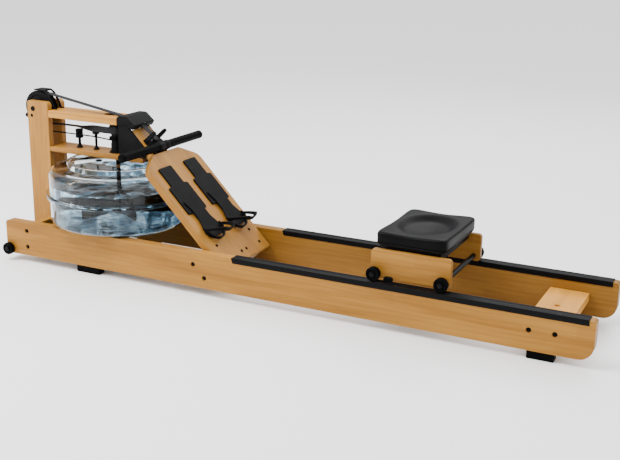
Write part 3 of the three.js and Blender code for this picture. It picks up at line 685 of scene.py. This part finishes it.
# Painted light: the top plank's oak is lightened 1.40 times.
finish(top_plank, "oak", ["top_plank"], oak("oak_top_plank", "x", 7, 1.40), 1.8)
liner = prism("plank_slot_liner", rectangle(312, 344, -10, 10, 6), laid_flat, 503.8, 531.5)
below_rim = (490, PLANK_TOP + 0.1)
carved(liner, prism("hole", rectangle(317, 339, -5, 5, 4), laid_flat, 510, 540),
       block(300, 350, -20, -7.7, *below_rim), block(300, 350, 7.7, 20, *below_rim),
       block(300, 314.3, -20, 20, *below_rim), block(341.7, 350, -20, 20, *below_rim))
finish(liner, "black_plastic", bevel=0.5)
mid_plank = prism("tower_mid_plank", rectangle(plank_start, 500, -TOWER_HALF, TOWER_HALF), laid_flat,
                  380.2, BEARING_BOTTOM - GAP)
tank_centre = at(TANK_X, 0, 0)
carved(mid_plank, turned("hole", [(0, 370), (14, 370), (14, 410), (0, 410)], tank_centre, "z", 48))
finish(mid_plank, "oak", ["mid_plank"], oak("oak_mid_plank", "x", 8), 1.8)

# ---- water tank ------------------------------------------------------------------------------
FLOOR_CORNER, ROOF_CORNER = (TANK_CORNER, 171.9), (TANK_CORNER, 324)
HALF_SEAM = 0.15
lower_shell = turned("tank_lower", [
    (0, 145.9), *arc(*FLOOR_CORNER, 26, -90, 0, 10), (TANK_RADIUS, SEAM - 7),
    *arc(FLANGE_RADIUS - 2, SEAM - 5, 2, -90, 0, 3), (FLANGE_RADIUS, SEAM - HALF_SEAM),
    (TANK_INNER, SEAM - HALF_SEAM), *arc(*FLOOR_CORNER, 22, 0, -90, 10), (0, 149.9),
], tank_centre, steps=144)
finish(lower_shell, "clear_tank", ["tank_lower_shell"])
upper_shell = turned("tank_upper", [
    (TANK_INNER, SEAM + HALF_SEAM), (FLANGE_RADIUS, SEAM + HALF_SEAM),
    *arc(FLANGE_RADIUS - 2, SEAM + 5, 2, 0, 90, 3), (TANK_RADIUS, SEAM + 7),
    *arc(*ROOF_CORNER, 26, 0, 90, 8), (187, 350), (182, 352), (178.6, 368), (176, 371.6), (172, 372),
    (12.5, 372), (12.5, 368), (171, 368), (174, 366), (177.5, 351), (184, 346),
    *arc(*ROOF_CORNER, 22, 90, 0, 8),
], tank_centre, steps=144, closed=True)
finish(upper_shell, "clear_tank", ["tank_upper_shell"])


def water_body():
    """The whole body of water, with a swirled surface that dips towards the shaft."""
    steps, rows = 144, 40
    outer = TANK_INNER - 0.5
    profile = [(0, 150.4), *arc(*FLOOR_CORNER, 21.5, -90, 0, 8), (outer, WATER_LEVEL - 14)]
    points, rings = [], []

    def ring(radius, height):
        if radius < 1e-6:
            rings.append([len(points)])
            points.append(tank_centre + Vector((0, 0, height(0, 0))) * MM)
            return
        start = len(points)
        for step in range(steps):
            angle = 2 * math.pi * step / steps
            x, y = radius * math.cos(angle), radius * math.sin(angle)
            points.append(tank_centre + Vector((x, y, height(x, y))) * MM)
        rings.append(list(range(start, start + steps)))

    def surface(x, y):
        radius = math.hypot(x, y)
        angle = math.atan2(y, x)
        swirl = math.sin(3 * angle + radius / 34) * 3.2 * min(1, radius / 90)
        chop = noise.noise(Vector((x / 42, y / 42, 2.3))) * 6.0
        dip = -9 * math.exp(-(radius / 70) ** 2)
        return WATER_LEVEL - 9 + swirl + chop + dip

    for radius, height in profile:
        ring(radius, lambda x, y, h=height: h)
    for row in range(rows + 1):
        ring(outer * (1 - row / rows), surface)
    return mesh_piece("tank_water_body", points, bridged(rings, steps))


finish(water_body(), "water", ["tank_water"], sharp=60)

plug = turned("tank_plug", [
    (0, 372.3), (12, 372.3), (12, 374.5), (10.8, 376.2), (8.5, 377), (6.5, 376), (5, 376), (4.4, 377.9),
    (0, 377.9),
], at(TANK_X - 37, -63, 0), steps=40)
finish(plug, "black_plastic", ["tank_filler_plug"])

paddle_parts = [
    turned("shaft", [(0, 182), (7, 182), (8, 184), (8, 502), (7, 503), (0, 503)], tank_centre, steps=32),
    turned("hub", [(8, 186), (20, 186), (26, 190), (26, 236), (20, 240), (8, 240)], tank_centre, steps=48,
           closed=True),
]
BLADE_ROOT, BLADE_TIP = 24, 178
for index in range(6):
    turn = Matrix.Rotation(index * math.pi / 3 + 0.35, 3, "Z")

    def curved(a, b, along, turn=turn):
        bend = 10 * ((a - BLADE_ROOT) / (BLADE_TIP - BLADE_ROOT)) ** 2
        return tank_centre + turn @ (Vector((a, bend + along, b)) * MM)

    paddle_parts.append(prism("blade", rectangle(BLADE_ROOT, BLADE_TIP, 190, 236, 10), curved, -1.8, 1.8))
paddle = joined("paddle_rotor", *paddle_parts)
finish(paddle, "black_plastic", ["paddle"], body="paddle_wheel")

# ---- belt drive ------------------------------------------------------------------------------
bearing = turned("drum_bearing", [
    (8.3, BEARING_BOTTOM), (30, BEARING_BOTTOM), (30, 398.4), (28.6, 400), (14, 401), (8.3, 401),
], tank_centre, steps=48, closed=True)
finish(bearing, "black_plastic", ["drum_base_bearing"])
drum = turned("winding_drum", [
    (8.3, 401.4), (25.4, 401.4), (26, 402), (26, 403.6), (DRUM_RADIUS, 405), (DRUM_RADIUS, 430), (21, 431),
    (21, 461), (DRUM_RADIUS, 462), (DRUM_RADIUS, 492), (26, 493), (26, 495.4), (25.4, 496), (8.3, 496),
], tank_centre, steps=56, closed=True)
finish(drum, "black_plastic", ["recoil_drum"], body="drum")

pulley_half = [
    (5.3, 18), (13, 18), (14, 17), (14, 12), (44, 12), (46, 15.5), (59.5, 15.5), (60.5, 14.4), (60.5, 13.2),
    (PULLEY_RADIUS, 12.6),
]
pulley_centre = at(PULLEY[0], 0, PULLEY[1])
pulley = turned("front_belt_pulley", across(pulley_half), pulley_centre, "y", 96, closed=True)
finish(pulley, "black_plastic", ["front_pulley"], body="pulley")
bolt_half = [(0, 51.8), (5, 51.8), (8, 50.6), (9, 48.3), (5, 48.3)]
finish(turned("front_pulley_bolt", across(bolt_half), pulley_centre, "y", 32),
       "black_plastic", ["front_pulley_axle"])
roller_half = [(0, 50), (4, 50), (4, 16), (15.5, 16), (16.5, 15), (16.5, 13), (ROLLER_RADIUS, 12.6)]
roller = turned("rear_belt_roller", across(roller_half), at(ROLLER[0], 0, ROLLER[1]), "y", 48)
finish(roller, "steel", ["rear_roller"], body="roller")

guard_outline = rounded([
    (96, PLANK_TOP + GAP), (113, PLANK_TOP + GAP), (113, 533, 1), (102, 533, 4), (91, 562, 20),
    (73, 587, 10), (58, 597, 8), (12, 597, 3), (12, 592), (56, 592), (67, 583), (85, 558),
], 5)
guard = prism("pulley_guard", guard_outline, side_on, -21, 21)
carved(guard, block(58, 130, -16.5, 16.5, 500, 620))
finish(guard, "black_plastic", ["belt_guard"], bevel=0.8)

WRAP_FRONT = PULLEY_RADIUS + GAP + BELT_HALF_THICKNESS
WRAP_REAR = ROLLER_RADIUS + GAP + BELT_HALF_THICKNESS
span = Vector((ROLLER[0] - PULLEY[0], ROLLER[1] - PULLEY[1]))
top_normal = math.atan2(span.y, span.x) - math.asin((WRAP_FRONT - WRAP_REAR) / span.length) + math.pi / 2
lug = DOWN * (HANDLE_S - 28) + OFF * HANDLE_H
to_lug = Vector((lug.x - ROLLER[0], lug.z - ROLLER[1]))
exit_normal = math.atan2(to_lug.y, to_lug.x) + math.acos(WRAP_REAR / to_lug.length)


def belt_station(centre, radius, angle):
    out = Vector((math.cos(angle), 0, math.sin(angle)))
    return at(centre[0], 0, centre[1]) + out * (radius * MM), AXIS_Y, out


UNDER = 1.5 * math.pi
top_stations = [
    belt_station(PULLEY, WRAP_FRONT, UNDER + (top_normal - UNDER) * step / 40) for step in range(41)
]
top_stations += [
    belt_station(ROLLER, WRAP_REAR, top_normal + (exit_normal - top_normal) * step / 8) for step in range(9)
]
finish(strip("belt_upper", top_stations), "webbing", ["belt_top_run"])

belt_exit, _, belt_normal = top_stations[-1]
belt_end = at(lug.x, 0, lug.z)
pull_stations = [
    (belt_exit.lerp(belt_end, 0.004 + 0.992 * step / 24), AXIS_Y, belt_normal) for step in range(25)
]
pull_belt = strip("belt_to_handle", pull_stations)
finish(pull_belt, "webbing", ["belt_handle_run"], body=None)
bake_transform(pull_belt)

coil_y = -(COIL_RADIUS - BELT_HALF_THICKNESS)
lower_start = at(PULLEY[0] + GAP, 0, PULLEY[1] - WRAP_FRONT)
lower_end = at(TANK_X, coil_y, COIL_HEIGHT)


lower_stations = []
for step in range(49):
    along = step / 48
    centre = lower_start.lerp(lower_end, along)
    centre.y = coil_y * MM * ease(0.3, 1, along)
    quarter = math.pi / 2 * ease(0.5, 0.88, along)
    lower_stations.append((
        centre,
        Vector((0, math.cos(quarter), math.sin(quarter))),
        Vector((0, -math.sin(quarter), math.cos(quarter))),
    ))
coil_low, coil_high = COIL_HEIGHT - BELT_HALF_WIDTH, COIL_HEIGHT + BELT_HALF_WIDTH
coil_profile = [(DRUM_RADIUS + GAP, coil_low), (COIL_RADIUS, coil_low), (COIL_RADIUS, coil_high),
                (DRUM_RADIUS + GAP, coil_high)]
lower_belt = joined(
    "belt_lower",
    strip("run", lower_stations),
    turned("coil", coil_profile, tank_centre, steps=56, closed=True),
)
finish(lower_belt, "webbing", ["belt_lower_run"])


cord_radius = DRUM_RADIUS + 3.3
cord_path = []
for step in range(21):
    along = step / 20
    cord_path.append(at(CORD_ANCHOR_X + (TANK_X - CORD_ANCHOR_X) * along, -cord_radius + 7 * (1 - along),
                        449 - 4.5 * ease(0.7, 1, along)))
for step in range(1, 61):
    angle = -math.pi / 2 + 2 * math.pi * step / 24
    cord_path.append(at(TANK_X + cord_radius * math.cos(angle), cord_radius * math.sin(angle),
                        444.5 + 8.5 * step / 60))
finish(tube("return_cord", cord_path, 2.6), "black_rubber", ["shock_cord"])
cord_anchor = turned("return_cord_end", [
    (0, 442), (4.5, 442), (6, 443.5), (6, 454.5), (4.5, 456), (0, 456),
], at(CORD_ANCHOR_X, -cord_radius + 10, 0), steps=28)
finish(cord_anchor, "black_plastic")

guide = turned("guide_post_roller", [
    (0, BEARING_BOTTOM), (12, BEARING_BOTTOM), (12, 399), (9.5, 402), (6, 408), (5, 412), (5, 431),
    (7, 433), (12.8, 433.6), (14, 435), (14, 440), (12.9, 443), (12.9, 456), (14, 459), (14, 463),
    (12.8, 464.6), (11, 465.4), (4, 466), (0, 466),
], at(196, -4, 0), steps=40)
finish(guide, "black_plastic", ["guide_roller"])
spindle = turned("guide_spindle", [
    (0, BEARING_BOTTOM), (11, BEARING_BOTTOM), (11, 399.5), (9, 403), (6, 406), (4.6, 410), (4.6, 446),
    (6, 452), (12.5, 455), (14, 462), (14, 464.6), (12.8, 466), (0, 466),
], at(270, -4, 0), steps=40)
finish(spindle, "black_plastic", ["spindle_post"])

# ---- neck, covers, hood, handle rest ---------------------------------------------------------
neck = prism("neck", rectangle(-31, 140, -50, 50, 4), on_board, NECK_BOTTOM, BOARD_BOTTOM - GAP)
finish(neck, "oak", ["neck_board"], oak("oak_neck", "slope", 9, 1.02), 1.8)


def neck_line(x):
    """Height of the footboard's underside, less 1 mm, above x."""
    return (BOARD_BOTTOM - 1 - math.sin(SLOPE) * x) / math.cos(SLOPE)


cover_outline = rounded([
    (406, 405, 3), (520, 405, 6), (520, neck_line(520), 3), (452, neck_line(452)), (446, 527), (406, 531, 3),
])
for side, low, high in (("near", -57, -51), ("far", 51, 57)):
    cover = prism(f"cover_{side}", cover_outline, side_on, low, high)
    finish(cover, "black_plastic", [f"side_cover_{side}"], bevel=1.2)

hood = prism("hood", rounded([
    (403, 506, 3), (403, 532, 5), (414, 541, 10), (446, 541, 14), (479, 512, 4), (468, 496, 2), (440, 513, 4),
]), side_on, -60.3, 60.3)
hollow = prism("hollow", rounded([
    (406, 480), (406, 530), (415, 538), (445, 538), (475, 511.5), (465.5, 499), (465.5, 480),
]), side_on, -57.3, 57.3)
carved(hood, hollow, block(398, 410, -48.6, 48.6, 480, PLANK_TOP + GAP),
       block(398, 416, *belt_slot, 518, 535.5), block(456, 484, *belt_slot, 480, 514))
finish(hood, "black_plastic", ["belt_hood"], bevel=1.0)

rest = joined(
    "handle_cradle",
    prism("plate", rectangle(18, 85, -38, 38, 6), on_board, BOARD_BOTTOM, REST_TOP),
    *[prism("finger", rounded([(20, 677), (36, 677), (35, 733, 6), (23, 733, 6)]), beside_board, y, y + 10)
      for y in (-37, 27)],
)
finish(rest, "black_plastic", ["handle_rest"], bevel=1.5, segments=3)
for index, (s, y) in enumerate(((28, 0), (76, -26), (76, 26))):
    button_bolt(f"cradle_screw_{index + 1}", on_slope(s, y, REST_TOP), "board", 4, 1.8, "steel")

# ---- handle ----------------------------------------------------------------------------------
handle_place = DOWN * HANDLE_S + OFF * HANDLE_H
handle_centre = at(handle_place.x, 0, handle_place.z)
finish(turned("handle_core", [(0, -236), (9, -236), (9, 236), (0, 236)], handle_centre, "y", 40),
       "steel", ["handle_bar"], body="handle")
ring_half = [(9.3, 32), (14.5, 32), (16.4, 30.5), (17, 28), (17, 10), (16, 8.5)]
clamp = joined(
    "handle_centre_clamp",
    turned("ring", across(ring_half), handle_centre, "y", 56, closed=True),
    prism("lug", rounded([(43, 696, 4), (59, 693), (59, 709), (43, 706, 4)]), beside_board, -14.8, 14.8),
)
finish(clamp, "black_plastic", ["handle_clamp"], bevel=0.8, body="handle")
for side, sign in SIDES.items():
    profile = [(9.3, 32.4), (13.2, 32.4), (14.4, 33.6), (14.7, 40)]
    for groove in range(16):
        start = 52 + groove * 10.6
        profile += [(14.7, start), (14.35, start + 1.1), (14.7, start + 2.2)]
    profile += [(14.7, 228), (15, 232), (15, 238), (13.6, 240.4), (11, 241), (0, 241), (0, 236.4),
                (9.3, 236.4)]
    profile = [(radius, sign * along) for radius, along in profile]
    grip = turned(f"grip_{side}", profile + [profile[0]], handle_centre, "y", 48)
    finish(grip, "black_rubber", [f"handle_grip_{side}"], sharp=50, body="handle")

# ---- footboard, footrests, heel cups ---------------------------------------------------------
board = prism("foot_board", rounded([
    (91, -80, 20), (140, -158, 40), (563, -158, 3), (563, 158, 3), (140, 158, 40), (91, 80, 20),
], 10), on_board, BOARD_BOTTOM, BOARD_TOP)
finish(board, "oak", ["footboard"], oak("oak_footboard", "slope", 10, 0.95), 3, segments=3)
cross_block = prism("foot_cross", rectangle(460, 558, *BETWEEN_RAILS), on_board, 620.7, BOARD_BOTTOM - GAP)
finish(cross_block, "oak", ["foot_cross_block"], oak("oak_foot_cross", "y", 11, 0.97), 2)
BOARD_BOLTS = ((475, -110), (475, 110), (531, -114), (531, -10), (531, 22), (531, 114))
for index, (s, y) in enumerate(BOARD_BOLTS):
    button_bolt(f"board_bolt_{index + 1}", on_slope(s, y, BOARD_TOP), "board", 5.5, 2.4)


def mirrored(half):
    """A whole (s, y) outline from its half on one side of the middle."""
    return [(s, -y, *r) for s, y, *r in half] + [(s, y, *r) for s, y, *r in reversed(half)]


def half_ellipse(middle, reach, half_width):
    """Points round the tail end of an ellipse on the footboard."""
    angles = [math.pi * (step / 32 - 0.5) for step in range(33)]
    return [(middle + reach * math.cos(angle), half_width * math.sin(angle)) for angle in angles]


PLATE_TOP = BOARD_TOP + 6.3
HEEL_MIDDLE, HEEL_WALL_TOP = 404.3, 772
rest_outline = rounded(mirrored([
    (150, 37, 5), (224, 37, 3), (228, 56, 6), (338, 56, 6), (342, 26, 3), (430, 26, 3),
]), 4)
heel_outline = rounded(mirrored([
    (292, 44, 3), (330, 33, 20), (372, 34, 30), (420, 52, 14), (446, 44, 20),
]), 8)
for side, sign in SIDES.items():
    centre = 76 * sign

    def shifted(outline):
        return [(a, b + centre) for a, b in outline]

    parts = [prism("base", shifted(rest_outline), on_board, BOARD_TOP + GAP, PLATE_TOP)]
    for rows, first, half_width in ((7, 158, 30), (5, 236, 48)):
        for row in range(rows):
            s = first + row * 9.2
            rib = shifted(rectangle(s, s + 3, -half_width, half_width, 1.2))
            parts.append(prism("rib", rib, on_board, PLATE_TOP - 1, PLATE_TOP + 0.25))
    footrest = joined(f"foot_plate_{side}", *parts)
    finish(footrest, "black_plastic", [f"footrest_{side}"], bevel=0.8)

    plate = prism("plate", shifted(heel_outline), on_board, PLATE_TOP + GAP, PLATE_TOP + 4.3)
    ring = half_ellipse(HEEL_MIDDLE, 58, 52) + half_ellipse(HEEL_MIDDLE, 52.6, 46.6)[::-1]
    wall = prism("wall", shifted(ring), on_board, PLATE_TOP + 2, HEEL_WALL_TOP)
    slot = prism("slot", rounded([(423, 718, 2), (480, 718), (480, 756), (448.5, 756, 6)]),
                 beside_board, centre - 60, centre + 60)
    slant = prism("slant", [(380, 713), (380, 790), (460.9, 790), (409, 713.7)],
                  beside_board, centre - 80, centre + 80)
    carved(wall, slot, slant)
    ribs = [prism("rib", shifted(rectangle(s, s + 2.6, -26, 26, 1)), on_board, PLATE_TOP + 4, PLATE_TOP + 4.8)
            for s in (302, 311, 320, 346, 355, 364, 373, 382, 391, 400)]
    heel = joined(f"heel_holder_{side}", plate, wall, *ribs)
    finish(heel, "black_plastic", [f"heel_cup_{side}"], bevel=1.0, body=f"heel_{side}")

# ---- rolling seat ----------------------------------------------------------------------------
carriage_outline = rounded([(1408, 153, 10), (1664, 153, 10), (1664, 243, 12), (1408, 243, 12)], 8)
roll_half = [
    (5.3, 9.5), (9, 9.5), (10, 7.5), (14.5, 7.5), (15.5, 9), (20, 9.5), (21.6, 8.2), (22, 6),
]
for number, (side, sign) in enumerate(SIDES.items()):
    cheek = prism(f"carriage_cheek_{side}", carriage_outline, side_on, *sides(sign, 141, CARRIAGE_OUTER))
    # Painted shade: the near cheek's oak is darkened to 0.88 and the far cheek's to 0.72.
    timber = oak(f"oak_carriage_{side}", "x", 12 + number, (0.88, 0.72)[number])
    finish(cheek, "oak", [f"carriage_board_{side}"], timber, 2.2, segments=3, body="carriage")
    for end, x in SEAT_AXLES.items():
        wheel = turned(f"roll_wheel_{end}_{side}", across(roll_half), at(x, sign * 180.5, SEAT_WHEEL_Z),
                       "y", 56, closed=True)
        finish(wheel, "black_rubber", [f"seat_wheel_{end}_{side}"], body=f"wheel_{end}_{side}")
axle_half = [
    (0, 194), (4.5, 194), (7.2, 192.6), (8, 190.4), (5, 190.4), (5, SEAT_BASE_HALF), (8, SEAT_BASE_HALF),
]
for end, x in SEAT_AXLES.items():
    seat_axle = turned(f"roll_axle_{end}", across(axle_half), at(x, 0, SEAT_WHEEL_Z), "y", 32)
    finish(seat_axle, "steel", [f"seat_axle_{end}"], BLACK_STEEL_AND_PAINTED_SHADE, body="carriage")
runner_outline = rounded([(1454, 148.8, 2), (1484, 148.8, 2), (1484, 162, 9), (1454, 162, 9)], 8)
runner = prism("carriage_runner", runner_outline, side_on, -(CARRIAGE_OUTER + 8), -(CARRIAGE_OUTER + GAP))
finish(runner, "black_plastic", ["carriage_guide"], bevel=1.0, body="carriage")
base = prism("seat_frame", rectangle(1446, 1624, -SEAT_BASE_HALF, SEAT_BASE_HALF, 6), laid_flat, 226, 250)
finish(base, "black_plastic", ["seat_base"], bevel=2, body="carriage")

CUSHION_LOW, CUSHION_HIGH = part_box("seat_cushion")
CUSHION_INSET = 0.0004


def cushion():
    """Moulded seat: a crowned pad with a broad dish and soft, slightly drawn-in sides."""
    centre = (CUSHION_LOW + CUSHION_HIGH) / 2
    half = (CUSHION_HIGH - CUSHION_LOW) / 2
    bottom, top = CUSHION_LOW.z, CUSHION_HIGH.z - CUSHION_INSET
    steps, levels, turns = 192, 26, 7
    edge_radius, squareness = 0.0085, 14
    points, rings = [], []

    def edge(angle, inset):
        """A point on a rounded-square outline drawn in by inset metres."""
        x, y = math.cos(angle), math.sin(angle)
        stretch = (abs(x) ** squareness + abs(y) ** squareness) ** (-1 / squareness)
        waist = 0.0015 * (math.cos(2 * angle) ** 2)
        return Vector((x * stretch * (half.x - inset - waist), y * stretch * (half.y - inset - waist)))

    def dished(x, y):
        """Height of the top below the rim: an oval bowl in a saddle."""
        u, v = (x + 0.002) / (half.x * 0.86), (y - 0.004) / (half.y * 0.82)
        reach = math.hypot(u, v)
        bowl = -0.0140 * (1 - ease(0.66, 1.0, reach)) - 0.0080 * (1 - ease(0.0, 0.95, reach))
        lengthways = -0.0035 * (1 - ease(0.0, 0.9, abs(x / half.x)))
        crossways = -0.003 * (1 - ease(0.0, 0.9, abs(y / half.y)))
        return bowl + lengthways + crossways

    def add_point(height):
        rings.append([len(points)])
        points.append(Vector((centre.x, centre.y, height)))

    def add_ring(make):
        """make turns an angle into an offset from the middle and a height."""
        rings.append(list(range(len(points), len(points) + steps)))
        for step in range(steps):
            flat, height = make(2 * math.pi * step / steps)
            points.append(Vector((centre.x + flat.x, centre.y + flat.y, height)))

    def top_point(angle, scale):
        flat = edge(angle, edge_radius) * scale
        return flat, top + dished(flat.x, flat.y)

    def shoulder(angle, turn):
        rim = edge(angle, edge_radius)
        drop = edge_radius * (1 - math.cos(turn))
        return edge(angle, edge_radius * (1 - math.sin(turn))), top + dished(rim.x, rim.y) - drop

    add_point(top + dished(0, 0))
    for level in range(1, levels + 1):
        add_ring(lambda angle, scale=level / levels: top_point(angle, scale))
    for step in range(1, turns + 1):
        add_ring(lambda angle, turn=math.pi / 2 * step / turns: shoulder(angle, turn))
    for height, inset in ((0.020, 0.0004), (0.0145, 0.0002), (0.0135, 0.0022), (0.0125, 0.0002),
                          (0.007, 0.001), (0.003, 0.0035), (0.0012, 0.007)):
        add_ring(lambda angle, h=height, i=inset: (edge(angle, i), bottom + h))
    for scale in (0.97, 0.6, 0.25):
        add_ring(lambda angle, k=scale: (edge(angle, 0.009) * k, bottom + CUSHION_INSET))
    add_point(bottom + CUSHION_INSET)
    return mesh_piece("seat_pad", points, bridged(rings, steps))


seat_pad = cushion()
finish(seat_pad, "black_leather", ["seat_cushion"], sharp=60, body="carriage")

# ---- floor, light and camera -----------------------------------------------------------------
FLOOR_HALF = 40
floor = mesh_piece("floor", [
    (x * FLOOR_HALF, y * FLOOR_HALF, -0.0005) for x, y in ((-1, -1), (1, -1), (1, 1), (-1, 1))
], [(0, 1, 2, 3)])
floor_material, _, floor_shader = new_material("pale_floor")
floor_shader.inputs["Base Color"].default_value = (0.90, 0.90, 0.90, 1)
floor_shader.inputs["Roughness"].default_value = 0.55
floor.data.materials.append(floor_material)

world = bpy.data.worlds.new("studio")
world.use_nodes = True
sky_tree = world.node_tree
direction = sky_tree.nodes.new("ShaderNodeTexCoord")
heights = sky_tree.nodes.new("ShaderNodeSeparateXYZ")
sky_tree.links.new(direction.outputs["Generated"], heights.inputs["Vector"])
sky = ramp(sky_tree, heights.outputs["Z"], [
    (0.0, (0.40, 0.40, 0.41)), (0.12, (0.25, 0.25, 0.26)), (0.35, (0.42, 0.42, 0.43)), (0.75, (1, 1, 1)),
])
sky_tree.links.new(sky, sky_tree.nodes["Background"].inputs["Color"])
sky_tree.nodes["Background"].inputs["Strength"].default_value = 2.2
bpy.context.scene.world = world


def softbox(name, place, target, size, power):
    """A soft rectangular lamp at a place, facing a target."""
    light = bpy.data.lights.new(name, "AREA")
    light.shape = "RECTANGLE"
    light.size, light.size_y = size
    light.energy = power
    lamp = bpy.data.objects.new(name, light)
    bpy.context.scene.collection.objects.link(lamp)
    lamp.location = place
    lamp.rotation_euler = (Vector(target) - Vector(place)).to_track_quat("-Z", "Y").to_euler()


softbox("key", (-1.9, -1.6, 3.6), (0, 0, 0.2), (2.4, 2.4), 260)
softbox("fill", (3.2, -2.2, 2.2), (0.2, 0, 0.2), (2.0, 2.0), 18)
softbox("strip", (-2.6, -1.9, 0.9), (-0.67, 0, 0.3), (0.35, 1.6), 40)
softbox("rim", (0.4, 3.2, 2.8), (0, 0, 0.3), (3.0, 1.6), 60)

CAMERA_PLACE = Vector((FRONT + 2.5183, -2.8982, 1.1766))
CAMERA_YAW = math.radians(25.69)
CAMERA_PITCH = math.radians(-16.60)
CAMERA_ROLL = math.radians(0.963)
lens = bpy.data.cameras.new("camera")
lens.sensor_width = 36
lens.lens = 59.07
camera = bpy.data.objects.new("camera", lens)
bpy.context.scene.collection.objects.link(camera)
level = math.cos(CAMERA_PITCH)
ahead = Vector((-math.sin(CAMERA_YAW) * level, math.cos(CAMERA_YAW) * level, math.sin(CAMERA_PITCH)))
right = Vector((math.cos(CAMERA_YAW), math.sin(CAMERA_YAW), 0))
up = right.cross(ahead)
rolled_right = right * math.cos(CAMERA_ROLL) + up * math.sin(CAMERA_ROLL)
rolled_up = up * math.cos(CAMERA_ROLL) - right * math.sin(CAMERA_ROLL)
turn = Matrix((rolled_right, rolled_up, -ahead)).transposed().to_4x4()
camera.matrix_world = Matrix.Translation(CAMERA_PLACE) @ turn
bpy.context.scene.camera = camera


def corners(bounds):
    """A box as plain lists of numbers."""
    return [[round(float(value), 5) for value in corner] for corner in bounds]
